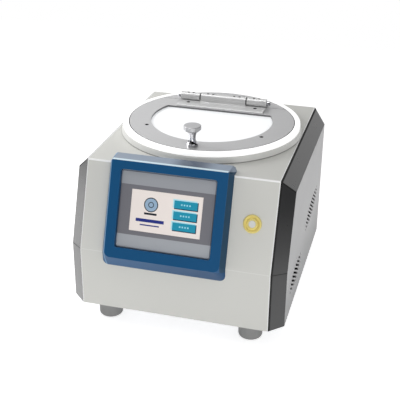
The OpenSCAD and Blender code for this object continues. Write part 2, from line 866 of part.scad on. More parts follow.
module at_knob(z) {
    translate([0, bowl_y - knob_y, z]) children();
}

lid_break = hinge_y - plate_break / 2;
module lid_plate() {
    color("lightgray") placed() difference() {
        at_bowl(lid_low) linear_extrude(lid_t) difference() {
            chord_disc(lid_r, lid_break);
            chord_disc(window_r, window_chord);
        }
        at_lid_screws() translate([0, 0, lid_low - past])
            cylinder(r = screw_r + 0.1, h = lid_t + 2 * past, $fn = 32);
        at_leaf_screws() translate([0, 0, lid_low - past])
            cylinder(r = screw_r + 0.1, h = lid_t + 2 * past, $fn = 32);
        at_lid_screws() translate([0, 0, lid_top - screw_head_t])
            cylinder(r = screw_head_r + 0.1, h = screw_head_t + past, $fn = 32);
        at_knob(lid_low - past) cylinder(r = 2.1, h = lid_t + 2 * past, $fn = 32);
    }
}

module window_pane() {
    color("white", 0.5) placed() difference() {
        at_bowl(lid_low - pane_t) linear_extrude(pane_t) chord_disc(pane_r, pane_chord);
        at_lid_screws() translate([0, 0, lid_low - pane_t - past])
            cylinder(r = screw_r + 0.1, h = pane_t + 2 * past, $fn = 32);
        at_leaf_screws() translate([0, 0, lid_low - pane_t - past])
            cylinder(r = screw_r + 0.1, h = pane_t + 2 * past, $fn = 32);
        at_knob(lid_low - pane_t - past) cylinder(r = 5, h = pane_t + 2 * past);
    }
}

// Flush screw with a hexagon socket, its head's top at z = 0
module flush_screw(length) {
    difference() {
        union() {
            translate([0, 0, -screw_head_t]) cylinder(r = screw_head_r, h = screw_head_t - 0.1, $fn = 32);
            translate([0, 0, -length]) cylinder(r = screw_r, h = length - screw_head_t + 0.2, $fn = 32);
        }
        translate([0, 0, -screw_head_t + 0.3]) cylinder(r = 1.5, h = screw_head_t, $fn = 6);
    }
}

module lid_screws() {
    color("black") placed() at_lid_screws() translate([0, 0, lid_top]) flush_screw(lid_t + pane_t);
}

// Outline of a leaf that runs into its knuckle, seen along the axis, towards -Y
module leaf_outline(reach) {
    foot = -hinge_rise;
    circle(barrel_r, $fn = 64);
    polygon([
        [0, foot], [-reach, foot], [-reach, foot + leaf_t - 0.7], [-reach + 0.7, foot + leaf_t],
        [-barrel_r - 1.6, foot + leaf_t], [-barrel_r * 0.985, -barrel_r * 0.18], [0, 0]
    ]);
}

// Outline of a flat leaf that stops short of the knuckle
module leaf_flat(reach, clear) {
    foot = -hinge_rise;
    polygon([
        [-clear, foot], [-reach, foot], [-reach, foot + leaf_t - 0.7], [-reach + 0.7, foot + leaf_t],
        [-clear, foot + leaf_t]
    ]);
}

module at_hinge() {
    translate([0, bowl_y + hinge_y, hinge_z]) children();
}

module along_hinge(x0, x1) {
    at_hinge() along_x(x0, x1) children();
}

set_mid_x = 20;
set_end_x = 50;
set_pair = 3.9;
module at_set_screws(x) {
    for (s = [-1, 1], p = [-1, 1])
        at_hinge() translate([s * x + p * set_pair, 0, barrel_r - 1.6]) children();
}

module hinge_leaf() {
    half = knuckle_half - knuckle_gap / 2;
    color("silver") placed() difference() {
        union() {
            along_hinge(-half, half) leaf_outline(leaf_reach);
            along_hinge(-hinge_half, hinge_half) leaf_flat(leaf_reach, barrel_r + 0.8);
        }
        at_hinge() rotate([0, 90, 0]) cylinder(r = pin_r + run_gap, h = 3 * hinge_half, center = true);
        at_set_screws(set_mid_x) cylinder(r = pocket_r, h = barrel_r, $fn = 32);
        at_leaf_screws() translate([0, 0, lid_top - past])
            cylinder(r = screw_r + 0.1, h = leaf_t + 2 * past, $fn = 32);
        at_leaf_screws() translate([0, 0, lid_top + leaf_t - 1.2])
            cylinder(r = screw_head_r + 0.1, h = leaf_t, $fn = 32);
    }
}

module leaf_screws() {
    color("black") placed() at_leaf_screws() translate([0, 0, lid_top + leaf_t]) difference() {
        union() {
            translate([0, 0, -1.2]) cylinder(r = screw_head_r, h = 1.1, $fn = 32);
            translate([0, 0, -leaf_t - lid_t - pane_t])
                cylinder(r = screw_r, h = leaf_t + lid_t + pane_t - 1, $fn = 32);
        }
        translate([0, 0, -0.9]) cylinder(r = 1.4, h = 2, $fn = 6);
    }
}

module grub_screw() {
    difference() {
        cylinder(r = pocket_r - 0.05, h = 1.2, $fn = 32);
        translate([0, 0, 0.5]) cylinder(r = 1, h = 1, $fn = 6);
    }
}

module knuckle_set_screws() {
    color("black") placed() at_set_screws(set_mid_x) grub_screw();
}

module hinge_set_screws() {
    color("black") placed() at_set_screws(set_end_x) grub_screw();
}

module knob_stem() {
    foot_h1 = 3.4;
    color("silver") placed() at_knob(lid_top) difference() {
        union() {
            rotate_extrude() polygon([
                [0, 0], [knob_foot_r, 0], [knob_foot_r, foot_h1 - 0.8], [knob_foot_r - 0.8, foot_h1],
                [knob_waist_r + 1.6, foot_h1 + 1.4], [knob_waist_r + 0.3, foot_h1 + 4],
                [knob_waist_r, knob_stem_h * 0.6], [knob_waist_r + 1.2, knob_stem_h - 3],
                [knob_waist_r + 2.4, knob_stem_h - 0.8], [knob_waist_r + 2.4, knob_stem_h], [0, knob_stem_h]
            ]);
            translate([0, 0, -lid_t]) cylinder(r = 2, h = lid_t + past, $fn = 32);
        }
        for (a = [45, 135]) rotate([0, 0, a]) translate([0, 0, foot_h1 + 3])
            rotate([0, 90, 0]) cylinder(r = 1.3, h = 4 * knob_foot_r, center = true, $fn = 32);
    }
}

module knob_head() {
    low = 1.8;
    color("silver") placed() at_knob(lid_top + knob_stem_h) intersection() {
        cylinder(r = knob_r, h = knob_head_h, $fn = 12);
        rotate_extrude() polygon([
            [0, 0], [knob_r - 2.6, 0], [knob_r + 0.1, low + 1], [knob_r + 0.1, knob_head_h - 0.9],
            [knob_r - 1.2, knob_head_h], [0, knob_head_h]
        ]);
    }
}

rear_break = hinge_y + plate_break / 2;
rear_screw_r = (bowl_in_r + seal_r) / 2;
module at_rear_screws() {
    for (a = [62, 78, 102, 118]) at_bowl(lid_top) rotate([0, 0, a]) translate([rear_screw_r, 0, 0])
        children();
}

module at_base_leaf_screws() {
    for (x = [-leaf_screw_x, -leaf_screw_x / 3, leaf_screw_x / 3, leaf_screw_x])
        translate([x, bowl_y + hinge_y + base_reach / 2 + 3, lid_top + leaf_t]) children();
}

// Fixed back part of the round plate, behind the hinge axis
module rear_plate() {
    color("lightgray") placed() difference() {
        at_bowl(lid_low) linear_extrude(lid_t) difference() {
            circle(lid_r, $fn = 180);
            translate([-2 * lid_r, -3 * lid_r]) square([4 * lid_r, 3 * lid_r + rear_break]);
        }
        at_rear_screws() cylinder(r = screw_r + 0.1, h = 3 * lid_t, center = true, $fn = 32);
        at_rear_screws() translate([0, 0, -screw_head_t])
            cylinder(r = screw_head_r + 0.1, h = 2 * screw_head_t, $fn = 32);
        at_base_leaf_screws() cylinder(r = screw_r + 0.1, h = 4 * lid_t, center = true, $fn = 32);
    }
}

module hinge_base() {
    start = knuckle_half + knuckle_gap / 2;
    color("silver") placed() difference() {
        union() {
            for (side = [0, 1]) mirror([side, 0, 0])
                along_hinge(start, hinge_half) mirror([1, 0]) leaf_outline(base_reach);
            along_hinge(-hinge_half, hinge_half) mirror([1, 0]) leaf_flat(base_reach, barrel_r + 0.8);
        }
        at_hinge() translate([-2 * hinge_half, -2 * barrel_r, -hinge_rise])
            cube([4 * hinge_half, 2 * barrel_r + plate_break / 2, hinge_rise - barrel_r + 0.1]);
        at_hinge() rotate([0, 90, 0]) cylinder(r = pin_r, h = 3 * hinge_half, center = true);
        at_set_screws(set_end_x) cylinder(r = pocket_r, h = barrel_r, $fn = 32);
        at_base_leaf_screws() cylinder(r = screw_r + 0.1, h = 3 * leaf_t, center = true, $fn = 32);
        at_base_leaf_screws() translate([0, 0, -1.2])
            cylinder(r = screw_head_r + 0.1, h = leaf_t, $fn = 32);
    }
}

module rear_screws() {
    color("black") placed() {
        at_rear_screws() flush_screw(lid_t + seat_gap + 2);
        at_base_leaf_screws() difference() {
            union() {
                translate([0, 0, -1.2]) cylinder(r = screw_head_r, h = 1.1, $fn = 32);
                translate([0, 0, -leaf_t - lid_t]) cylinder(r = screw_r, h = leaf_t + lid_t - 1, $fn = 32);
            }
            translate([0, 0, -0.9]) cylinder(r = 1.4, h = 2, $fn = 6);
        }
    }
}

module hinge_pin() {
    color("silver") placed() at_hinge() rotate([0, 90, 0]) {
        cylinder(r = pin_r, h = 2 * hinge_half, center = true);
        for (side = [0, 1]) mirror([0, 0, side]) translate([0, 0, hinge_half]) rotate_extrude()
            polygon([
                [0, 0], [pin_cap_r, 0], [pin_cap_r, pin_cap_l - 1.6], [pin_cap_r * 0.8, pin_cap_l - 0.5],
                [pin_cap_r * 0.4, pin_cap_l], [0, pin_cap_l]
            ]);
    }
}

chuck_seal_r = 26;
chuck_seal_w = 2;
module chuck() {
    ring = 1;
    color("white") placed() at_bowl(chuck_top) rotate_extrude() difference() {
        union() {
            translate([vacuum_r, -chuck_t]) square([chuck_r - vacuum_r, chuck_t - 0.6]);
            translate([vacuum_r, -chuck_t]) square([chuck_r - 0.6 - vacuum_r, chuck_t]);
            translate([vacuum_r, -chuck_t - chuck_hub_l])
                square([chuck_hub_r - vacuum_r, chuck_hub_l + past]);
        }
        translate([0, -chuck_t - chuck_hub_l - past])
            square([shaft_r + 0.02, chuck_hub_l + past]);
        for (k = [1 : 3]) translate([k * chuck_seal_r / 4, -ring]) square([ring, ring + past]);
        translate([chuck_seal_r, -chuck_seal_w * 0.75])
            square([chuck_seal_w, chuck_seal_w * 0.75 + past]);
    }
}

module chuck_seal() {
    color("black") placed() at_bowl(chuck_top - chuck_seal_w * 0.75) rotate_extrude()
        translate([chuck_seal_r + 0.05, 0]) square([chuck_seal_w - 0.1, chuck_seal_w * 0.75]);
}

// Skirt on the shaft that covers the lip of the bowl's hub
module drip_cap() {
    roof = 3;
    lip_top = floor_z + floor_rise + hub_lip;
    skirt_r = hub_r + bowl_wall + 2.5;
    z = lip_top + 2;
    color("silver") placed() at_bowl(z) rotate_extrude() polygon([
        [shaft_r + 0.02, 0], [skirt_r, 0], [skirt_r, -5], [skirt_r + 2, -5], [skirt_r + 2, roof],
        [chuck_hub_r, roof + 3], [shaft_r + 0.02, roof + 3]
    ]);
}

module spindle_shaft() {
    top = chuck_top - chuck_t;
    color("silver") placed() at_bowl(shaft_z) difference() {
        cylinder(r = shaft_r, h = top - shaft_z);
        translate([0, 0, -past]) cylinder(r = vacuum_r, h = top - shaft_z + 2 * past, $fn = 32);
    }
}

stator_w = 15;
rotor_end = 4;
rotor_r = motor_r - stator_w;
module motor_rotor() {
    color("gray") placed() at_bowl(motor_z + bearing_h + rotor_end) difference() {
        cylinder(r = rotor_r, h = motor_l - 2 * (bearing_h + rotor_end));
        translate([0, 0, -past]) cylinder(r = shaft_r + 0.02, h = motor_l);
    }
}

module motor_case() {
    wall = 4;
    color("dimgray") placed() at_bowl(motor_z) difference() {
        cylinder(r = motor_r, h = motor_l);
        translate([0, 0, bearing_h]) cylinder(r = motor_r - wall, h = motor_l - 2 * bearing_h);
        translate([0, 0, -past]) cylinder(r = bearing_r, h = motor_l + 2 * past);
    }
}

module motor_stator() {
    color("peru") placed() at_bowl(motor_z + bearing_h + 2) difference() {
        cylinder(r = motor_r - 4, h = motor_l - 2 * bearing_h - 4);
        translate([0, 0, -past]) cylinder(r = rotor_r + 0.8, h = motor_l);
    }
}

module bearings() {
    color("silver") placed() for (z = [motor_z, motor_z + motor_l - bearing_h])
        at_bowl(z) difference() {
            cylinder(r = bearing_r - 0.02, h = bearing_h);
            translate([0, 0, -past]) cylinder(r = shaft_r + run_gap, h = bearing_h + 2 * past);
            for (s = [-past, bearing_h - 1]) translate([0, 0, s]) difference() {
                cylinder(r = bearing_r - 2.5, h = 1 + past);
                translate([0, 0, -past]) cylinder(r = shaft_r + 2, h = 4);
            }
        }
}

pillar_r = 5;
pillar_at = plate_w / 2 - 7;
module at_pillars(z) {
    for (x = [-pillar_at, pillar_at]) for (y = [-pillar_at, pillar_at])
        at_bowl(z) translate([x, y, 0]) children();
}

module motor_plate() {
    color("silver") placed() at_bowl(plate_z) difference() {
        translate([-plate_w / 2, -plate_w / 2, 0]) cube([plate_w, plate_w, plate_t]);
        translate([0, 0, -past]) cylinder(r = bearing_r, h = plate_t + 2 * past);
    }
}

module motor_pillars() {
    color("silver") placed() at_pillars(base_t) cylinder(r = pillar_r, h = plate_z - base_t);
}

module rotary_union() {
    port_l = union_port;
    color("goldenrod") placed() at_bowl(union_z) difference() {
        union() {
            cylinder(r = bearing_r + 2, h = union_l);
            translate([-bearing_r - 2 - port_l, 0, union_l / 4]) rotate([0, 90, 0])
                cylinder(r = 4, h = port_l + 4, $fn = 48);
        }
        translate([0, 0, union_l / 2 - 3]) cylinder(r = shaft_r + run_gap, h = union_l);
        translate([-bearing_r - 2 - port_l - past, 0, union_l / 4]) rotate([0, 90, 0])
            cylinder(r = vacuum_r, h = bearing_r + port_l + 2, $fn = 32);
        translate([0, 0, union_l / 4]) cylinder(r = vacuum_r, h = union_l, $fn = 32);
    }
}

// Vacuum line from the union back to the valve
tube_r = 3;
tube_z = union_z + union_l / 4;
valve_x = spigot_x;
valve_d = 30;
valve_h = 26;
valve_back = 18;
valve_y = body_d - valve_back - valve_d;
tube_stub = 2;
union_port = -tube_x - tube_bend - tube_stub - bearing_r - 2;
module vacuum_tube() {
    bend = tube_bend;
    port_y = valve_y + valve_d / 2;
    color("lightblue") placed() {
        translate([tube_x + bend, bowl_y, tube_z]) rotate([0, 90, 0])
            cylinder(r = tube_r, h = tube_stub, $fn = 32);
        translate([tube_x + bend, bowl_y + bend, tube_z]) rotate([0, 0, 180])
            rotate_extrude(angle = 90) translate([bend, 0]) circle(tube_r, $fn = 32);
        translate([tube_x, bowl_y + bend, tube_z]) rotate([-90, 0, 0])
            cylinder(r = tube_r, h = port_y - bowl_y - 2 * bend, $fn = 32);
        translate([tube_x, port_y - bend, tube_z + bend]) rotate([0, 90, 0])
            rotate_extrude(angle = 90) translate([bend, 0]) circle(tube_r, $fn = 32);
        translate([tube_x, port_y, tube_z + bend])
            cylinder(r = tube_r, h = spigot_z - tube_z - 2 * bend, $fn = 32);
        translate([tube_x + bend, port_y, spigot_z - bend]) rotate([90, 0, 0]) rotate([0, 0, 90])
            rotate_extrude(angle = 90) translate([bend, 0]) circle(tube_r, $fn = 32);
    }
}

module vacuum_valve() {
    color("dimgray") placed() {
        translate([valve_x - valve_w / 2, valve_y, spigot_z - valve_h / 2])
            cube([valve_w, valve_d, valve_h]);
        translate([tube_x + tube_bend, valve_y + valve_d / 2, spigot_z]) rotate([0, 90, 0])
            cylinder(r = tube_r + 1, h = valve_stub, $fn = 32);
        translate([valve_x - valve_w / 3, valve_y + valve_d / 8, spigot_z + valve_h / 2 - past])
            cube([valve_w / 1.5, valve_d * 0.75, valve_h * 0.6]);
    }
}

// Spigot on the back for a vacuum hose, with a shoulder and a nut inside
module vacuum_spigot() {
    inside = body_d - sheet - valve_y - valve_d;
    bore = spigot_r - 1.5;
    color("goldenrod") placed() on_back(spigot_x, spigot_z) difference() {
        union() {
            translate([0, 0, -sheet - inside]) cylinder(r = spigot_r + 2, h = sheet + inside);
            cylinder(r = spigot_r + nut_w, h = 3, $fn = 6);
            cylinder(r = spigot_r, h = spigot_l - 1);
            translate([0, 0, spigot_l - 1]) cylinder(r1 = spigot_r, r2 = spigot_r - 0.8, h = 1);
        }
        translate([0, 0, -sheet - inside + 2]) cylinder(r = bore, h = inside + sheet + spigot_l, $fn = 48);
    }
}

board_side = 6;
board_y = body_d / 4;
module power_supply() {
    gap = 15.5;
    w = flat_half - board_side - plate_w / 2 - gap;
    d = 110;
    h = 38;
    x = -flat_half + board_side;
    y = board_y;
    rim = 4;
    color("silver") placed() difference() {
        translate([x, y, base_t]) cube([w, d, h]);
        translate([x + rim, y - past, base_t + h - 3 * rim]) cube([w - 2 * rim, 3.5 * rim, 3 * rim + past]);
        for (k = [0 : 7]) translate([x + 2 * rim, y + (k + 2.4) * d / 11, base_t + h - 2])
            cube([w - 4 * rim, rim, 3]);
    }
}

module control_board() {
    gap = 3.5;
    w = flat_half - board_side - plate_w / 2 - gap;
    d = 120;
    t = 1.6;
    lift = 8;
    post = 4;
    x = flat_half - board_side - w;
    y = board_y;
    color("green") placed() {
        translate([x, y, base_t + lift]) cube([w, d, t]);
        for (a = [post, w - post]) for (b = [post, d - post])
            translate([x + a, y + b, base_t]) cylinder(r = post - 1, h = lift, $fn = 32);
        translate([x, y, base_t + lift + t]) {
            translate([w * 0.16, d * 0.12]) cube([w * 0.34, d / 4, 14]);
            translate([w * 0.6, d / 6]) cube([w * 0.22, d * 0.12, 3]);
            for (k = [0 : 3]) translate([w * (0.25 + 0.19 * k), d * 0.8])
                cylinder(r = w / 16, h = 12, $fn = 32);
            translate([w / 8, d * 0.88]) cube([w * 0.72, d / 12, 9]);
        }
    }
}

// Cooling fan behind the back panel's grille
fan_duct = fan_w / 2 - 1.5;
fan_hub = 13;
fan_y = body_d - sheet - fan_t;
module at_fan(y) {
    translate([fan_x, y, fan_z]) rotate([-90, 0, 0]) children();
}

module fan_case() {
    strut = 3;
    color("dimgray") placed() at_fan(fan_y) {
        difference() {
            translate([-fan_w / 2, -fan_w / 2, 0]) cube([fan_w, fan_w, fan_t]);
            translate([0, 0, -past]) cylinder(r = fan_duct, h = fan_t + 2 * past);
            for (x = [-1, 1]) for (z = [-1, 1]) translate([x * fan_screw, z * fan_screw, -past])
                cylinder(r = screw_r + 0.1, h = fan_t + 2 * past, $fn = 32);
        }
        cylinder(r = fan_hub, h = 2);
        cylinder(r = 2, h = fan_t - 3, $fn = 48);
        for (a = [0 : 90 : 270]) rotate([0, 0, a + 45]) translate([0, -strut / 2, 0])
            cube([fan_duct + 1, strut, 2]);
    }
}

module fan_rotor() {
    blades = 7;
    blade_t = 1.2;
    depth = fan_t - 5;
    color("black") placed() at_fan(fan_y + 3) {
        difference() {
            cylinder(r = fan_hub, h = depth);
            translate([0, 0, -past]) cylinder(r = 2 + run_gap, h = fan_t);
        }
        for (k = [0 : blades - 1]) rotate([0, 0, k * 360 / blades])
            translate([fan_hub - 1, 0, depth / 2]) rotate([38, 0, 0])
                translate([0, -blade_t / 2, -depth * 0.42])
                    cube([fan_duct - fan_hub - 0.5, blade_t, depth * 0.84]);
    }
}

// Appliance inlet with three pins and a fuse drawer
socket_x = -9;
module power_inlet() {
    flange = 2;
    depth = 26;
    socket_l = 20;
    color("black") placed() on_back(inlet_x, inlet_z) {
        difference() {
            union() {
                translate([-inlet_w / 2 - 2, -inlet_h / 2 - 2, 0])
                    cube([inlet_w + 4, inlet_h + 4, flange]);
                translate([-inlet_w / 2, -inlet_h / 2, -depth])
                    cube([inlet_w, inlet_h, depth + past]);
            }
            translate([socket_x, 0, -socket_l]) linear_extrude(socket_l + 2 * flange) polygon([
                [-12, -8], [12, -8], [12, 3.5], [7.5, 8], [-7.5, 8], [-12, 3.5]
            ]);
            translate([12.5, -10, flange - 0.8]) cube([9, 20, 2]);
        }
        for (x = [-7, 0, 7]) translate([socket_x + x - 2, x == 0 ? -3 : -1, -20.5])
            cube([4, 2, 13]);
        translate([13, -9.5, flange - 0.8]) cube([8, 19, 1.4]);
    }
}

rocker_w = 13.6;
rocker_h = 23;
rocker_tilt = 9;
rocker_pin = 1.4;
rocker_z = 1;
module switch_frame() {
    flange = 2;
    depth = 18;
    color("black") placed() on_back(switch_x, inlet_z) difference() {
        union() {
            translate([-switch_w / 2 - 2, -switch_h / 2 - 2, 0])
                cube([switch_w + 4, switch_h + 4, flange]);
            translate([-switch_w / 2, -switch_h / 2, -depth])
                cube([switch_w, switch_h, depth + past]);
        }
        translate([-rocker_w / 2 - fit, -rocker_h / 2 - 1, -9])
            cube([rocker_w + 2 * fit, rocker_h + 2, 20]);
        translate([0, 0, rocker_z - 3]) rotate([0, 90, 0])
            cylinder(r = rocker_pin + run_gap, h = rocker_w + 4, center = true, $fn = 48);
    }
}

module switch_rocker() {
    color("dimgray") placed() on_back(switch_x, inlet_z) translate([0, 0, rocker_z - 3])
        rotate([-rocker_tilt, 0, 0]) {
            rotate([90, 0, 90]) linear_extrude(rocker_w, center = true) polygon([
                [-rocker_h / 2 + 0.5, -2.4], [rocker_h / 2 - 0.5, -2.4], [rocker_h / 2 - 0.4, 4.6],
                [0, 2.8], [-rocker_h / 2 + 0.4, 4.6]
            ]);
            rotate([0, 90, 0]) cylinder(r = rocker_pin, h = rocker_w + 3, center = true, $fn = 48);
        }
}

base_plate();
front_cover();
side_frame_left();
side_frame_right();
side_panel_left();
side_panel_right();
back_panel();
back_screws();
feet();
foot_screws();
collar();
bowl_rim();
bowl_wall();
bowl_floor();
bowl_hub();
lid_seal();
drain_pipe();
screen_frame();
hmi_bezel();
hmi_display();
hmi_case();
button_bezel();
button_nut();
button_cap();
button_lens();
lid_plate();
window_pane();
lid_screws();
hinge_leaf();
leaf_screws();
knuckle_set_screws();
knob_stem();
knob_head();
rear_plate();
rear_screws();
hinge_base();
hinge_set_screws();
hinge_pin();
chuck();
chuck_seal();
drip_cap();
spindle_shaft();
motor_rotor();
motor_case();
motor_stator();
bearings();
motor_plate();
motor_pillars();
rotary_union();
vacuum_tube();
vacuum_valve();
vacuum_spigot();
power_supply();
control_board();
fan_case();
fan_rotor();
power_inlet();
switch_frame();
switch_rocker();
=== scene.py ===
import json
import math
import bpy
from mathutils import Euler, Matrix, Vector


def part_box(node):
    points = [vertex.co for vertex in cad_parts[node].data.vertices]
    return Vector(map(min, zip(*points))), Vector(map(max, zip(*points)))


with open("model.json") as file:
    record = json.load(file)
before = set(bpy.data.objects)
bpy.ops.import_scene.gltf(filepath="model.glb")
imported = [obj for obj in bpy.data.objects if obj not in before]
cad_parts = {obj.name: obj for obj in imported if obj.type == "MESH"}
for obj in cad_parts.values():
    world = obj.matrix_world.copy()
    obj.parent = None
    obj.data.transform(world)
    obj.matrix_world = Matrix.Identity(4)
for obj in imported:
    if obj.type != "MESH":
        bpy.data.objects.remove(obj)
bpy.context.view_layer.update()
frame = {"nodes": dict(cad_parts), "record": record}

nodes = frame["nodes"]
mm = 0.001
scene = bpy.context.scene
scene.view_settings.view_transform = "Standard"

# Driving places: the slope's lean and length are the part's own, and the rest comes from the frame

front_lean = math.radians(20)
slant_length = 120.7 * mm
screen_low, screen_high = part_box("hmi_display")
screen_mid = (screen_low + screen_high) / 2
bezel_low, bezel_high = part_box("hmi_bezel")
bezel_mid = (bezel_low + bezel_high) / 2
cover_low, cover_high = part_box("front_cover")
slant_top = cover_low.y + slant_length * math.sin(front_lean)
crease_up = cover_high.z - slant_length * math.cos(front_lean)


def from_sight(red, green, blue):
    """Linear colour of a finish, from its red, green and blue as a screen shows them, 0 to 255."""
    def level(v):
        v = v / 255
        return v / 12.92 if v <= 0.04045 else ((v + 0.055) / 1.055) ** 2.4
    return (level(red), level(green), level(blue), 1.0)


# Shared surface effects


def new_group(name, inputs, outputs):
    """Empty shader group with its sockets and its two end nodes."""
    tree = bpy.data.node_groups.new(name, "ShaderNodeTree")
    for label, kind, default in inputs:
        socket = tree.interface.new_socket(name=label, in_out="INPUT", socket_type=kind)
        socket.default_value = default
    for label, kind in outputs:
        tree.interface.new_socket(name=label, in_out="OUTPUT", socket_type=kind)
    start = tree.nodes.new("NodeGroupInput")
    end = tree.nodes.new("NodeGroupOutput")
    return tree, start, end


def feed(tree, value, socket):
    """Links an output to a socket, or sets the socket to a plain value."""
    if hasattr(value, "is_output"):
        tree.links.new(value, socket)
    else:
        socket.default_value = value


def math_node(tree, kind, *values):
    """Math node whose inputs are outputs or numbers."""
    node = tree.nodes.new("ShaderNodeMath")
    node.operation = kind
    for place, value in enumerate(values):
        feed(tree, value, node.inputs[place])
    return node.outputs[0]


def ramp_node(tree, value, low, high):
    """Zero below one value, one above another, smooth between."""
    ramp = tree.nodes.new("ShaderNodeMapRange")
    ramp.interpolation_type = "SMOOTHSTEP"
    ramp.inputs["From Min"].default_value = low
    ramp.inputs["From Max"].default_value = high
    tree.links.new(value, ramp.inputs["Value"])
    return ramp.outputs[0]


def noise_node(tree, vector, scale, detail, roughness):
    """Noise texture; scale is an output or a number."""
    node = tree.nodes.new("ShaderNodeTexNoise")
    tree.links.new(vector, node.inputs["Vector"])
    feed(tree, scale, node.inputs["Scale"])
    node.inputs["Detail"].default_value = detail
    node.inputs["Roughness"].default_value = roughness
    return node.outputs["Fac"]


def mix_colour(tree, share, first, second):
    """Mix from a first colour to a second; each value is an output or plain."""
    node = tree.nodes.new("ShaderNodeMix")
    node.data_type = "RGBA"
    feed(tree, share, node.inputs[0])
    feed(tree, first, node.inputs[6])
    feed(tree, second, node.inputs[7])
    return node.outputs[2]


def scale_colour(tree, colour, tone):
    """Colour times one plus twice a tone."""
    scaled = tree.nodes.new("ShaderNodeVectorMath")
    scaled.operation = "SCALE"
    tree.links.new(colour, scaled.inputs[0])
    tree.links.new(math_node(tree, "MULTIPLY_ADD", tone, 2.0, 1.0), scaled.inputs["Scale"])
    return scaled.outputs[0]


def split(tree, vector):
    """X, Y and Z of a vector."""
    parts = tree.nodes.new("ShaderNodeSeparateXYZ")
    tree.links.new(vector, parts.inputs[0])
    return parts.outputs


def object_place(tree):
    """Object coordinates."""
    return tree.nodes.new("ShaderNodeTexCoord").outputs["Object"]


grain_outputs = [
    ("Colour", "NodeSocketColor"),
    ("Roughness", "NodeSocketFloat"),
    ("Height", "NodeSocketFloat"),
]


def make_paint_grain():
    """Cloudy tone, fine grain and scattered rub marks of a painted or moulded surface."""
    tree, start, end = new_group(
        "paint_grain",
        [
            ("Colour", "NodeSocketColor", (0.5, 0.5, 0.5, 1)),
            ("Tone", "NodeSocketFloat", 0.03),
            ("Grain Scale", "NodeSocketFloat", 900.0),
            ("Roughness", "NodeSocketFloat", 0.45),
            ("Rub", "NodeSocketFloat", 0.06),
        ],
        grain_outputs,
    )
    place = object_place(tree)
    cloud = noise_node(tree, place, scale=9.0, detail=4.0, roughness=0.55)
    grain = noise_node(tree, place, scale=start.outputs["Grain Scale"], detail=2.0, roughness=0.6)
    rubs = noise_node(tree, place, scale=46.0, detail=6.0, roughness=0.7)
    shift = math_node(tree, "SUBTRACT", cloud, 0.5)
    speck = math_node(tree, "MULTIPLY", math_node(tree, "SUBTRACT", grain, 0.5), 0.5)
    tone = math_node(tree, "MULTIPLY", math_node(tree, "ADD", shift, speck), start.outputs["Tone"])
    tree.links.new(scale_colour(tree, start.outputs["Colour"], tone), end.inputs["Colour"])
    worn = math_node(tree, "MULTIPLY", math_node(tree, "SUBTRACT", rubs, 0.5), start.outputs["Rub"])
    rough = math_node(tree, "MULTIPLY_ADD", worn, 2.0, start.outputs["Roughness"])
    tree.links.new(rough, end.inputs["Roughness"])
    tree.links.new(grain, end.inputs["Height"])
    return tree


def make_metal_grain():
    """Drawn lines of rolled or brushed metal, stretched along one axis, with fine smudges."""
    tree, start, end = new_group(
        "metal_grain",
        [
            ("Colour", "NodeSocketColor", (0.6, 0.6, 0.6, 1)),
            ("Stretch", "NodeSocketVector", (60.0, 2500.0, 2500.0)),
            ("Lines", "NodeSocketFloat", 0.05),
            ("Roughness", "NodeSocketFloat", 0.3),
            ("Smudge", "NodeSocketFloat", 0.06),
        ],
        grain_outputs,
    )
    place = object_place(tree)
    stretched = tree.nodes.new("ShaderNodeVectorMath")
    stretched.operation = "MULTIPLY"
    tree.links.new(place, stretched.inputs[0])
    tree.links.new(start.outputs["Stretch"], stretched.inputs[1])
    lines = noise_node(tree, stretched.outputs[0], scale=1.0, detail=3.0, roughness=0.6)
    smudge = noise_node(tree, place, scale=38.0, detail=5.0, roughness=0.6)
    tone = math_node(tree, "SUBTRACT", lines, 0.5)
    tone = math_node(tree, "MULTIPLY", tone, start.outputs["Lines"])
    tree.links.new(scale_colour(tree, start.outputs["Colour"], tone), end.inputs["Colour"])
    marks = math_node(tree, "SUBTRACT", smudge, 0.5)
    rough = math_node(tree, "MULTIPLY_ADD", marks, start.outputs["Smudge"], start.outputs["Roughness"])
    rough = math_node(tree, "ADD", rough, tone)
    tree.links.new(rough, end.inputs["Roughness"])
    tree.links.new(lines, end.inputs["Height"])
    return tree


def make_bar_mask():
    """One inside a rectangle in the X and Y of a vector, zero outside."""
    tree, start, end = new_group(
        "bar_mask",
        [
            ("Place", "NodeSocketVector", (0.0, 0.0, 0.0)),
            ("Across", "NodeSocketFloat", 0.0),
            ("Up", "NodeSocketFloat", 0.0),
            ("Width", "NodeSocketFloat", 1.0),
            ("Height", "NodeSocketFloat", 1.0),
        ],
        [("Mask", "NodeSocketFloat")],
    )
    parts = split(tree, start.outputs["Place"])
    inside = []
    for axis, middle, size in (("X", "Across", "Width"), ("Y", "Up", "Height")):
        off = math_node(tree, "SUBTRACT", parts[axis], start.outputs[middle])
        off = math_node(tree, "ABSOLUTE", off)
        half = math_node(tree, "MULTIPLY", start.outputs[size], 0.5)
        inside.append(math_node(tree, "LESS_THAN", off, half))
    tree.links.new(math_node(tree, "MULTIPLY", inside[0], inside[1]), end.inputs["Mask"])
    return tree


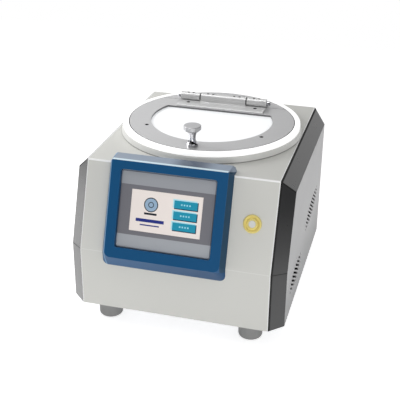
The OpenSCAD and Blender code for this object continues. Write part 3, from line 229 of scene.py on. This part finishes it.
def make_ring_mask():
    """One between two radii round a point in the X and Y of a vector."""
    tree, start, end = new_group(
        "ring_mask",
        [
            ("Place", "NodeSocketVector", (0.0, 0.0, 0.0)),
            ("Across", "NodeSocketFloat", 0.0),
            ("Up", "NodeSocketFloat", 0.0),
            ("Inner", "NodeSocketFloat", 0.0),
            ("Outer", "NodeSocketFloat", 1.0),
        ],
        [("Mask", "NodeSocketFloat")],
    )
    parts = split(tree, start.outputs["Place"])
    across = math_node(tree, "SUBTRACT", parts["X"], start.outputs["Across"])
    up = math_node(tree, "SUBTRACT", parts["Y"], start.outputs["Up"])
    squares = math_node(tree, "MULTIPLY_ADD", across, across, math_node(tree, "MULTIPLY", up, up))
    radius = math_node(tree, "SQRT", squares)
    inside = math_node(tree, "LESS_THAN", radius, start.outputs["Outer"])
    outside = math_node(tree, "GREATER_THAN", radius, start.outputs["Inner"])
    tree.links.new(math_node(tree, "MULTIPLY", inside, outside), end.inputs["Mask"])
    return tree


line_core = 0.75


def make_line_mask():
    """One within a distance of a value, fading to zero outside."""
    tree, start, end = new_group(
        "line_mask",
        [
            ("Value", "NodeSocketFloat", 0.0),
            ("Middle", "NodeSocketFloat", 0.0),
            ("Reach", "NodeSocketFloat", 1.0),
        ],
        [("Mask", "NodeSocketFloat")],
    )
    off = math_node(tree, "SUBTRACT", start.outputs["Value"], start.outputs["Middle"])
    share = math_node(tree, "DIVIDE", math_node(tree, "ABSOLUTE", off), start.outputs["Reach"])
    ramp = tree.nodes.new("ShaderNodeMapRange")
    ramp.inputs["From Min"].default_value = line_core
    ramp.inputs["From Max"].default_value = 1.0
    ramp.inputs["To Min"].default_value = 1.0
    ramp.inputs["To Max"].default_value = 0.0
    tree.links.new(share, ramp.inputs["Value"])
    tree.links.new(ramp.outputs[0], end.inputs["Mask"])
    return tree


paint_grain = make_paint_grain()
metal_grain = make_metal_grain()
bar_mask = make_bar_mask()
ring_mask = make_ring_mask()
line_mask = make_line_mask()


def place_group(tree, group, **values):
    """Group node in a tree, its inputs fed by name."""
    node = tree.nodes.new("ShaderNodeGroup")
    node.node_tree = group
    for label, value in values.items():
        feed(tree, value, node.inputs[label.replace("_", " ")])
    return node


def new_material(name, metallic=0.0, coat=0.0, coat_roughness=0.1, specular=0.5):
    """Material with one Principled shader, its constants set on the shader itself."""
    mat = bpy.data.materials.new(name)
    mat.use_nodes = True
    shader = mat.node_tree.nodes["Principled BSDF"]
    shader.inputs["Metallic"].default_value = metallic
    shader.inputs["Coat Weight"].default_value = coat
    shader.inputs["Coat Roughness"].default_value = coat_roughness
    shader.inputs["Specular IOR Level"].default_value = specular
    return mat, mat.node_tree, shader


def feed_shader(tree, shader, grain, bump, relief):
    """Feeds a grain's colour, roughness and, unless bump is zero, height to a shader."""
    tree.links.new(grain.outputs["Colour"], shader.inputs["Base Color"])
    tree.links.new(grain.outputs["Roughness"], shader.inputs["Roughness"])
    if bump:
        node = tree.nodes.new("ShaderNodeBump")
        node.inputs["Strength"].default_value = bump
        node.inputs["Distance"].default_value = relief
        tree.links.new(grain.outputs["Height"], node.inputs["Height"])
        tree.links.new(node.outputs[0], shader.inputs["Normal"])


paint_relief = 0.1 * mm
metal_relief = 0.05 * mm
metal_bump = 0.08
metal_smudge = 0.06


def lay_paint(tree, shader, colour, roughness=0.42, tone=0.015, rub=0.02, scale=900.0, bump=0.12):
    """Lays paint grain on a shader, by default that of fresh paint."""
    grain = place_group(tree, paint_grain, Colour=colour, Tone=tone, Grain_Scale=scale,
                        Roughness=roughness, Rub=rub)
    feed_shader(tree, shader, grain, bump, paint_relief)
    return grain


def lay_metal(tree, shader, colour, roughness, stretch, lines=0.06):
    """Lays drawn metal's grain on a shader."""
    grain = place_group(tree, metal_grain, Colour=colour, Stretch=stretch, Lines=lines,
                        Roughness=roughness, Smudge=metal_smudge)
    feed_shader(tree, shader, grain, metal_bump, metal_relief)


def add_glow(tree, shader, colour, strength):
    """Emission on a surface: the display's own light, or painted light on the pane and the rim."""
    feed(tree, colour, shader.inputs["Emission Color"])
    shader.inputs["Emission Strength"].default_value = strength


def painted(name, colour, roughness, tone=0.03, rub=0.06, scale=900.0, bump=0.12, **finish):
    """Painted, moulded or rubber finish with grain and rub marks."""
    mat, tree, shader = new_material(name, **finish)
    lay_paint(tree, shader, colour, roughness, tone, rub, scale, bump)
    return mat


def metal(name, colour, roughness, stretch, lines=0.06, metallic=1.0, **finish):
    """Bare metal finish with drawn lines and smudges."""
    mat, tree, shader = new_material(name, metallic=metallic, **finish)
    lay_metal(tree, shader, colour, roughness, stretch, lines)
    return mat


def slope_place(tree, middle):
    """Vector in millimetres across and up the sloping panel from a point on it."""
    turn = Euler((front_lean - math.pi / 2, 0, 0))
    mapping = tree.nodes.new("ShaderNodeMapping")
    mapping.inputs["Rotation"].default_value = turn
    mapping.inputs["Scale"].default_value = (1 / mm, 1 / mm, 1 / mm)
    mapping.inputs["Location"].default_value = -(turn.to_matrix() @ (middle / mm))
    tree.links.new(object_place(tree), mapping.inputs["Vector"])
    return mapping.outputs[0]


# Screen picture: three keys on the right and a plain wafer sign on the left, in millimetres

key_across = 25.5
key_width = 32.0
key_height = 11.2
key_rows = (13.9, -0.3, -14.5)
key_shadow = 1.1
key_drop = 0.6 * key_shadow
key_mark = 2.1
key_mark_pitch = 3.6
key_mark_steps = (-1.5, -0.5, 0.5, 1.5)
sign_across = -20.5
sign_up = 9.0
sign_radius = 9.5
sign_line = 1.2
hub_inner = 2.8
hub_outer = 3.8
sign_foot_drop = 2.4
sign_foot_width = 17.0
sign_foot_height = 2.6
thick_bar_up = -12.0
thick_bar_width = 38.0
thick_bar_height = 4.2
thin_bar_up = -18.0
thin_bar_width = 26.0
thin_bar_height = 1.6
display_glow = 0.16


def display_picture():
    """Lit display: pale ground, teal keys with marks, a wafer on its chuck and two bars."""
    mat, tree, shader = new_material("display_picture", coat=0.5, coat_roughness=0.08)
    place = slope_place(tree, screen_mid)
    ink = from_sight(28, 34, 44)
    blue_ink = from_sight(40, 52, 130)
    teal = from_sight(30, 146, 176)
    light_edge = from_sight(176, 226, 236)
    dark_edge = from_sight(16, 52, 74)
    mark_tint = from_sight(150, 212, 226)
    colour = from_sight(238, 229, 224)

    def bar(across, up, width, height, tint):
        mask = place_group(tree, bar_mask, Place=place, Across=across, Up=up, Width=width,
                           Height=height)
        return mix_colour(tree, mask.outputs[0], colour, tint)

    def ring(inner, outer, tint):
        mask = place_group(tree, ring_mask, Place=place, Across=sign_across, Up=sign_up,
                           Inner=inner, Outer=outer)
        return mix_colour(tree, mask.outputs[0], colour, tint)

    for row in key_rows:
        colour = bar(key_across - key_shadow, row + key_shadow, key_width, key_height, light_edge)
        colour = bar(key_across + key_drop, row - key_drop, key_width, key_height, dark_edge)
        colour = bar(key_across, row, key_width - key_shadow, key_height - key_shadow, teal)
        for step in key_mark_steps:
            colour = bar(key_across + step * key_mark_pitch, row, key_mark, key_mark, mark_tint)
    colour = ring(0.0, sign_radius, from_sight(150, 176, 200))
    colour = ring(sign_radius - sign_line, sign_radius, ink)
    colour = ring(hub_inner, hub_outer, ink)
    colour = bar(sign_across, sign_up - sign_radius - sign_foot_drop, sign_foot_width,
                 sign_foot_height, ink)
    colour = bar(sign_across, thick_bar_up, thick_bar_width, thick_bar_height, blue_ink)
    colour = bar(sign_across, thin_bar_up, thin_bar_width, thin_bar_height, blue_ink)
    grain = lay_paint(tree, shader, colour, 0.3, tone=0.01, rub=0.05, scale=2600.0, bump=0)
    add_glow(tree, shader, grain.outputs["Colour"], display_glow)
    return mat


bezel_tall = 102.0
bezel_band = 18.2
past_bezel = 200.0


def bezel_plastic():
    """Grey moulding with paler bands above and below the display."""
    mat, tree, shader = new_material("bezel_plastic", coat=0.1)
    place = slope_place(tree, bezel_mid)
    middle = place_group(tree, bar_mask, Place=place, Across=0.0, Up=0.0, Width=past_bezel,
                         Height=bezel_tall - 2 * bezel_band)
    low_band = place_group(tree, bar_mask, Place=place, Across=0.0, Up=-bezel_tall / 2,
                           Width=past_bezel, Height=2 * bezel_band)
    colour = mix_colour(tree, low_band.outputs[0], from_sight(163, 166, 172),
                        from_sight(174, 178, 184))
    colour = mix_colour(tree, middle.outputs[0], colour, from_sight(122, 122, 129))
    lay_paint(tree, shader, colour, tone=0.03, rub=0.05, scale=1400.0, bump=0.15)
    return mat


pane_clear = 0.25
pane_bending = 1.45
# Painted light: the pane glows though it is no lamp
pane_painted_glow = 0.24
# Painted light: the rim glows though it is no lamp
rim_painted_glow = 0.45


def clear_pane():
    """Milky clear pane with faint wipe marks and a painted glow that lightens it to white."""
    mat, tree, shader = new_material("clear_pane")
    shader.inputs["Transmission Weight"].default_value = pane_clear
    shader.inputs["IOR"].default_value = pane_bending
    grain = lay_paint(tree, shader, from_sight(250, 251, 252), 0.12, tone=0.01, rub=0.08,
                      scale=400.0, bump=0)
    # Painted light: a glow that lightens the pane to white
    add_glow(tree, shader, grain.outputs["Colour"], pane_painted_glow)
    return mat


def white_rim():
    """Bright white plastic of the bowl's rim, with a painted glow that lightens it to pure white."""
    mat, tree, shader = new_material("rim_plastic")
    lay_paint(tree, shader, from_sight(252, 252, 252), 0.3, tone=0.01, rub=0.04)
    # Painted light: a glow that lightens the rim to pure white
    add_glow(tree, shader, (1, 1, 1, 1), rim_painted_glow)
    return mat


def paint_with_light_lines(name, colour, edges, **finish):
    """Paint with fine lines of painted light along its folds, painted highlights or painted shade;
    each edge gives an axis, a place on it, the line's half width and its colour."""
    mat, tree, shader = new_material(name, **finish)
    axes = split(tree, object_place(tree))
    tint = colour
    for axis, middle, reach, line_light in edges:
        value = axes[axis]
        if axis == "X":
            value = math_node(tree, "ABSOLUTE", value)
        line = place_group(tree, line_mask, Value=value, Middle=middle, Reach=reach)
        # Painted light: each line mixes in its highlight or shade colour
        tint = mix_colour(tree, line.outputs[0], tint, line_light)
    lay_paint(tree, shader, tint)
    return mat


fold = 1.2 * mm
frame_rough = 0.28
frame_shine = 0.5
shade_line_rough = 0.68


def frame_coat():
    """Dark coated frame; painted shade in black along the right seam with the cover and along the
    front folds.
    """
    mat, tree, shader = new_material("frame_paint", coat_roughness=0.16)
    x, y, z = split(tree, object_place(tree))
    on_right = math_node(tree, "GREATER_THAN", x, 0.0)
    x = math_node(tree, "ABSOLUTE", x)
    out = math_node(tree, "SUBTRACT", x, cover_high.x)

    def line(value, middle, reach, where):
        mask = place_group(tree, line_mask, Value=value, Middle=middle, Reach=reach)
        return math_node(tree, "MULTIPLY", mask.outputs[0], where)

    # The folds run across the bevel on the halves of the angles between the panels
    low_lean = math.tan(front_lean / 2)
    top_lean = (1 - math.sin(front_lean)) / math.cos(front_lean)
    low_value = math_node(tree, "MULTIPLY_ADD", out, low_lean, z)
    top_value = math_node(tree, "MULTIPLY_ADD", out, -top_lean, y)
    # Painted shade: black lines at the right seam and along the two front folds, matte and without
    # coat
    seam = line(x, cover_high.x + fold, fold, on_right)
    low_fold_shade = line(low_value, crease_up, 0.5 * fold, math_node(tree, "LESS_THAN", y, slant_top))
    top_fold_shade = line(top_value, slant_top, 0.6 * fold,
                    math_node(tree, "GREATER_THAN", z, crease_up))
    dark = math_node(tree, "MAXIMUM", seam, math_node(tree, "MAXIMUM", low_fold_shade, top_fold_shade))
    tint = mix_colour(tree, dark, from_sight(48, 48, 49), from_sight(16, 16, 17))
    rough = math_node(tree, "MULTIPLY_ADD", dark, shade_line_rough - frame_rough, frame_rough)
    lay_paint(tree, shader, tint, rough)
    shine = math_node(tree, "MULTIPLY_ADD", dark, -frame_shine, frame_shine)
    tree.links.new(shine, shader.inputs["Coat Weight"])
    return mat


# Face of the blue frame, in millimetres across and up the slope

blue_low, blue_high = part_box("screen_frame")
blue_mid = Vector(((blue_low.x + blue_high.x) / 2, cover_low.y, crease_up))
face_half = 77.5
face_low = -3.5
face_thick = 12.0
face_up = ((blue_high.z - crease_up) / mm - face_thick * math.sin(front_lean)) / math.cos(front_lean)
right_bevel = face_half + 0.3
low_bevel = face_low - 0.5
top_bevel = face_up + 0.4
top_highlight_up = face_up + 0.8
left_highlight_across = -face_half - 0.4
highlight_reach = 1.0
low_shade_fade = 60.0
mirrored_shade_across = 28.0
mirrored_shade_inner = 8.0
mirrored_shade_outer = 34.0


def blue_frame():
    """Blue moulding with painted light: a paler top as a painted reflection, painted shade on the
    right and lower bevels, and painted highlights along two edges.
    """
    mat, tree, shader = new_material("blue_plastic", specular=0.35)
    parts = split(tree, slope_place(tree, blue_mid))
    across, up = parts["X"], parts["Y"]
    # Painted shade on the right bevel
    right = math_node(tree, "GREATER_THAN", across, right_bevel)
    tint = mix_colour(tree, right, from_sight(20, 83, 130), from_sight(20, 64, 92))
    # Painted shade on the lower bevel, growing towards the right
    low = math_node(tree, "MULTIPLY", math_node(tree, "LESS_THAN", up, low_bevel),
                    ramp_node(tree, across, -low_shade_fade, low_shade_fade))
    tint = mix_colour(tree, low, tint, from_sight(14, 70, 114))
    # Painted reflection on the top bevel: paler, and darker where it mirrors the collar
    off = math_node(tree, "ABSOLUTE", math_node(tree, "SUBTRACT", across, mirrored_shade_across))
    pale = mix_colour(tree, ramp_node(tree, off, mirrored_shade_inner, mirrored_shade_outer),
                      from_sight(84, 98, 118), from_sight(147, 161, 179))
    tint = mix_colour(tree, math_node(tree, "GREATER_THAN", up, top_bevel), tint, pale)
    # Painted highlights along the face's top edge and its left edge
    line = place_group(tree, line_mask, Value=up, Middle=top_highlight_up, Reach=highlight_reach)
    line = math_node(tree, "MULTIPLY", line.outputs[0],
                     math_node(tree, "LESS_THAN", across, face_half - highlight_reach))
    tint = mix_colour(tree, line, tint, from_sight(222, 244, 254))
    line = place_group(tree, line_mask, Value=across, Middle=left_highlight_across,
                       Reach=highlight_reach)
    tint = mix_colour(tree, line.outputs[0], tint, from_sight(104, 150, 190))
    lay_paint(tree, shader, tint, 0.3, tone=0.012, rub=0.0)
    return mat


shade_foot = 30 * mm
shade_head = 115 * mm


def side_coat():
    """Side panel paint with painted shade, a little darker towards the floor."""
    mat, tree, shader = new_material("side_paint", specular=0.25)
    z = split(tree, object_place(tree))["Z"]
    high = ramp_node(tree, z, shade_foot, shade_head)
    # Painted shade: darker near the floor
    tint = mix_colour(tree, high, from_sight(158, 158, 159), from_sight(192, 192, 193))
    lay_paint(tree, shader, tint, tone=0.02, rub=0.06)
    return mat


shade_band_margin = 0.1 * mm


def lid_plate_metal():
    """Drawn plate of the lid with painted shade, darker on its cut edges."""
    mat, tree, shader = new_material("lid_metal", metallic=0.6)
    low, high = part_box("lid_plate")
    z = split(tree, object_place(tree))["Z"]
    # Painted shade on the plate's cut edges, round its outside and its window
    cut = place_group(tree, line_mask, Value=z, Middle=(low.z + high.z) / 2,
                      Reach=(high.z - low.z) / 2 - shade_band_margin)
    tint = mix_colour(tree, cut.outputs[0], from_sight(212, 212, 213), from_sight(112, 112, 114))
    lay_metal(tree, shader, tint, 0.42, stretch=(90.0, 2600.0, 2600.0), lines=0.09)
    return mat


knuckle_end = 35.0 * mm
knuckle_rise = 3.6 * mm
knuckle_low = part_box("hinge_leaf")[0].z + knuckle_rise
gap_shade_half = 1.0 * mm


def hinge_metal():
    """Bright steel with painted shade at the narrow gaps between the knuckles."""
    mat, tree, shader = new_material("hinge_steel", metallic=0.35)
    axes = split(tree, object_place(tree))
    across = math_node(tree, "ABSOLUTE", axes["X"])
    # Painted shade in the gaps between the knuckles
    line = place_group(tree, line_mask, Value=across, Middle=knuckle_end, Reach=gap_shade_half)
    high = math_node(tree, "GREATER_THAN", axes["Z"], knuckle_low)
    gap = math_node(tree, "MULTIPLY", line.outputs[0], high)
    tint = mix_colour(tree, gap, from_sight(221, 221, 221), from_sight(50, 50, 50))
    lay_metal(tree, shader, tint, 0.34, stretch=(60.0, 2600.0, 2600.0))
    return mat


# Finishes, by the record's material slots, and the nodes that have one of their own

cover_grey = from_sight(216, 216, 211)
# Painted highlights along the cover's side edges and its two front folds
highlight_white = from_sight(254, 254, 254)
all_ways = (1500.0, 1500.0, 1500.0)
cover_highlights = (("X", cover_high.x, fold, highlight_white), ("Y", slant_top, 0.7 * fold, highlight_white),
               ("Z", crease_up, 0.5 * fold, from_sight(225, 225, 221)))
# Painted shadow: a grey line round the collar's foot, where it meets the roof
collar_foot = cover_high.z + 0.4 * mm
collar_shade_reach = 0.9 * mm
collar_shade_line = (("Z", collar_foot, collar_shade_reach, from_sight(150, 150, 149)),)

finishes = {
    "cover_paint": paint_with_light_lines("cover_paint", cover_grey, cover_highlights, coat=0.1,
                                coat_roughness=0.25),
    "frame_paint": frame_coat(),
    "base_sheet": metal("base_sheet", from_sight(178, 180, 184), 0.4,
                        stretch=(2500.0, 60.0, 2500.0)),
    "foot_rubber": painted("foot_rubber", from_sight(147, 147, 146), 0.7, tone=0.06,
                           scale=1600.0, bump=0.3),
    "white_plastic": painted("white_plastic", from_sight(252, 252, 252), 0.35, tone=0.01, rub=0.04),
    "blue_plastic": blue_frame(),
    "bezel_plastic": bezel_plastic(),
    "display_face": display_picture(),
    "gold_metal": metal("gold_metal", from_sight(243, 225, 138), 0.34, stretch=all_ways,
                        metallic=0.25),
    "lens_plastic": painted("lens_plastic", from_sight(226, 227, 225), 0.3, tone=0.02, coat=0.4),
    "lid_metal": lid_plate_metal(),
    "bright_metal": metal("bright_metal", from_sight(212, 212, 216), 0.12,
                          stretch=(900.0, 900.0, 60.0), lines=0.03),
    "hinge_steel": hinge_metal(),
    "black_screw": metal("black_screw", from_sight(24, 24, 25), 0.5, stretch=all_ways,
                         metallic=0.2, specular=0.2),
    "steel_screw": metal("steel_screw", from_sight(150, 152, 156), 0.35, stretch=all_ways),
    "clear_pane": clear_pane(),
    "black_rubber": painted("black_rubber", from_sight(36, 36, 38), 0.6, tone=0.06, bump=0.25),
    "motor_paint": painted("motor_paint", from_sight(58, 60, 64), 0.45),
    "copper": metal("copper_wire", from_sight(188, 118, 74), 0.35,
                    stretch=(2600.0, 2600.0, 300.0), lines=0.2),
    "shaft_steel": metal("shaft_steel", from_sight(190, 190, 194), 0.22,
                         stretch=(300.0, 300.0, 2600.0)),
    "tube_plastic": painted("tube_plastic", from_sight(150, 180, 214), 0.3, coat=0.3),
    "board": painted("board_green", from_sight(28, 104, 62), 0.4, tone=0.1, scale=2200.0),
    "black_plastic": painted("black_plastic", from_sight(38, 38, 40), 0.42, tone=0.05,
                             scale=1400.0, bump=0.2),
    "alu_plate": metal("alu_plate", from_sight(196, 198, 202), 0.34,
                       stretch=(2500.0, 80.0, 2500.0)),
}
side_paint = side_coat()
own_finishes = {
    "bowl_rim": white_rim(),
    "collar": paint_with_light_lines("collar_paint", from_sight(226, 226, 223), collar_shade_line),
    "knob_head": metal("knob_metal", from_sight(196, 196, 198), 0.32, stretch=all_ways,
                       metallic=0.35),
    "back_panel": painted("plate_paint", cover_grey, 0.42, tone=0.02, rub=0.03),
    "side_panel_left": side_paint,
    "side_panel_right": side_paint,
}
for part in frame["record"]["subparts"]:
    node = part["node"]
    mesh = nodes[node].data
    mesh.materials.clear()
    mesh.materials.append(own_finishes.get(node, finishes[part["material_slot"]]))


# Softened edges on the CAD shells: merged, flattened and bevelled by modifiers

weld_reach = 0.004 * mm
flat_angle = math.radians(0.4)
sharp_angle = math.radians(28)
frame_angle = math.radians(12)


def soften(node, width, segments=2, angle=sharp_angle):
    """Rounds a CAD node's hard edges without touching its own mesh."""
    obj = nodes[node]
    for face in obj.data.polygons:
        face.use_smooth = True
    weld = obj.modifiers.new("weld", "WELD")
    weld.merge_threshold = weld_reach
    flat = obj.modifiers.new("flatten", "DECIMATE")
    flat.decimate_type = "DISSOLVE"
    flat.angle_limit = flat_angle
    edge = obj.modifiers.new("edge", "BEVEL")
    edge.width = width
    edge.segments = segments
    edge.limit_method = "ANGLE"
    edge.angle_limit = angle
    edge.use_clamp_overlap = True
    edge.harden_normals = False
    normals = obj.modifiers.new("normals", "WEIGHTED_NORMAL")
    normals.keep_sharp = False


soft_edges = (
    (0.45 * mm, ("front_cover", "side_frame_left", "side_frame_right", "side_panel_left",
                 "side_panel_right", "back_panel")),
    (0.3 * mm, ("hmi_bezel", "collar", "bowl_rim", "lid_plate", "rear_plate", "hinge_leaf",
                "hinge_base", "power_inlet", "switch_frame", "switch_rocker", "fan_case",
                "base_plate", "hmi_case")),
    (0.2 * mm, ("knob_head", "knob_stem", "button_bezel", "button_cap", "button_lens", "feet",
                "chuck", "drip_cap", "hinge_pin", "vacuum_spigot", "drain_pipe", "window_pane")),
)
for width, soft_nodes in soft_edges:
    for node in soft_nodes:
        soften(node, width)
soften("screen_frame", 0.9 * mm, segments=3, angle=frame_angle)


# Surroundings: what a reflection meets in each direction, as ranges of the direction's parts

ambient = 0.44
rear_range = (-0.6, 1.2)
left_range = (-0.15, 0.35)
strip_low_range = (-0.42, -0.32)
strip_back_range = (0.1, 0.5)
strip_share = 0.7
over_high_range = (0.86, 0.96)
over_left_range = (0.1, 0.2)
over_front_range = (-0.12, -0.04)
over_strength = 5.0


def make_world():
    """White surroundings to look at, a plain even light, and a studio for reflections:
    bright behind, above and to the left, dark in front and to the right."""
    world = bpy.data.worlds.new("studio")
    scene.world = world
    world.use_nodes = True
    tree = world.node_tree
    tree.nodes.clear()
    out = tree.nodes.new("ShaderNodeOutputWorld")
    ground = tree.nodes.new("ShaderNodeBackground")
    ground.inputs["Color"].default_value = (1, 1, 1, 1)
    x, y, z = split(tree, tree.nodes.new("ShaderNodeTexCoord").outputs["Generated"])
    to_left, to_front, to_floor = (math_node(tree, "MULTIPLY", part, -1.0) for part in (x, y, z))
    rear = ramp_node(tree, math_node(tree, "ADD", y, z), *rear_range)
    strip = math_node(tree, "MULTIPLY", ramp_node(tree, y, *strip_back_range),
                      ramp_node(tree, to_floor, *strip_low_range))
    left = math_node(tree, "MAXIMUM", ramp_node(tree, to_left, *left_range),
                     math_node(tree, "MULTIPLY", strip, strip_share))
    over = math_node(tree, "MULTIPLY", ramp_node(tree, z, *over_high_range), over_strength)
    over = math_node(tree, "MULTIPLY", over, ramp_node(tree, to_left, *over_left_range))
    over = math_node(tree, "MULTIPLY", over, ramp_node(tree, to_front, *over_front_range))
    mirror = math_node(tree, "MULTIPLY_ADD", rear, left, over)
    path = tree.nodes.new("ShaderNodeLightPath")
    strength = math_node(tree, "MULTIPLY_ADD", path.outputs["Is Glossy Ray"],
                         math_node(tree, "SUBTRACT", mirror, ambient), ambient)
    direct = math_node(tree, "MAXIMUM", path.outputs["Is Camera Ray"],
                       path.outputs["Is Transmission Ray"])
    strength = math_node(tree, "MULTIPLY_ADD", direct,
                         math_node(tree, "SUBTRACT", 1.0, strength), strength)
    tree.links.new(strength, ground.inputs["Strength"])
    tree.links.new(ground.outputs[0], out.inputs["Surface"])


floor_size = 2.6
floor_tone = 0.82
floor_glow = 0.66
floor_bounce = 0.15
dim_range = (0.45, 0.8)


def make_floor():
    """Pale floor that keeps the object's shadow."""
    bpy.ops.object.select_all(action="DESELECT")
    bpy.ops.mesh.primitive_plane_add(size=floor_size, location=(0, 0, 0))
    floor = bpy.context.object
    floor.name = "studio_floor"
    mat = bpy.data.materials.new("studio_floor")
    mat.use_nodes = True
    tree = mat.node_tree
    tree.nodes.clear()
    out = tree.nodes.new("ShaderNodeOutputMaterial")
    diffuse = tree.nodes.new("ShaderNodeBsdfDiffuse")
    diffuse.inputs["Color"].default_value = (floor_tone, floor_tone, floor_tone, 1)
    glow = tree.nodes.new("ShaderNodeEmission")
    path = tree.nodes.new("ShaderNodeLightPath")
    strength = math_node(tree, "MULTIPLY_ADD", path.outputs["Is Diffuse Ray"],
                         floor_bounce - floor_glow, floor_glow)
    # In reflections the floor darkens to the right
    x = split(tree, object_place(tree))["X"]
    dim = math_node(tree, "MULTIPLY", ramp_node(tree, x, *dim_range), path.outputs["Is Glossy Ray"])
    strength = math_node(tree, "MULTIPLY", strength, math_node(tree, "SUBTRACT", 1.0, dim))
    tree.links.new(strength, glow.inputs["Strength"])
    add = tree.nodes.new("ShaderNodeAddShader")
    tree.links.new(diffuse.outputs[0], add.inputs[0])
    tree.links.new(glow.outputs[0], add.inputs[1])
    tree.links.new(add.outputs[0], out.inputs["Surface"])
    floor.data.materials.append(mat)


# Lamps: name, place, target, size and power

lamps = (
    ("front_softbox", (0.5, -1.5, 0.15), (0, -0.1, 0.12), 0.7, 7.0),
    ("left_softbox", (-0.75, 0.05, 0.62), (0, 0, 0.2), 0.5, 4.6),
    ("over_softbox", (0.35, -0.35, 1.1), (0.03, 0, 0.2), 0.6, 0.92),
)


def area_light(name, place, target, size, power):
    """Soft square lamp aimed at a point."""
    data = bpy.data.lights.new(name, "AREA")
    data.shape = "SQUARE"
    data.size = size
    data.energy = power
    lamp = bpy.data.objects.new(name, data)
    scene.collection.objects.link(lamp)
    lamp.location = place
    aim = Vector(target) - Vector(place)
    lamp.rotation_euler = aim.to_track_quat("-Z", "Y").to_euler()


camera_place = (0.2886, -1.0983, 0.6775)
camera_azimuth = math.radians(15.14)
camera_elevation = math.radians(25.91)
camera_roll = math.radians(0.58)
camera_lens = 78.39
camera_sensor = 36.0


def make_camera():
    """Camera at the photograph's place, solved from the housing's corners."""
    data = bpy.data.cameras.new("photo_camera")
    data.lens = camera_lens
    data.sensor_width = camera_sensor
    cam = bpy.data.objects.new("photo_camera", data)
    scene.collection.objects.link(cam)
    turn = Euler((math.pi / 2 - camera_elevation, 0, camera_azimuth)).to_matrix()
    turn = turn @ Matrix.Rotation(camera_roll, 3, "Z")
    cam.matrix_world = Matrix.Translation(camera_place) @ turn.to_4x4()
    scene.camera = cam


make_camera()
make_world()
make_floor()
for lamp_values in lamps:
    area_light(*lamp_values)
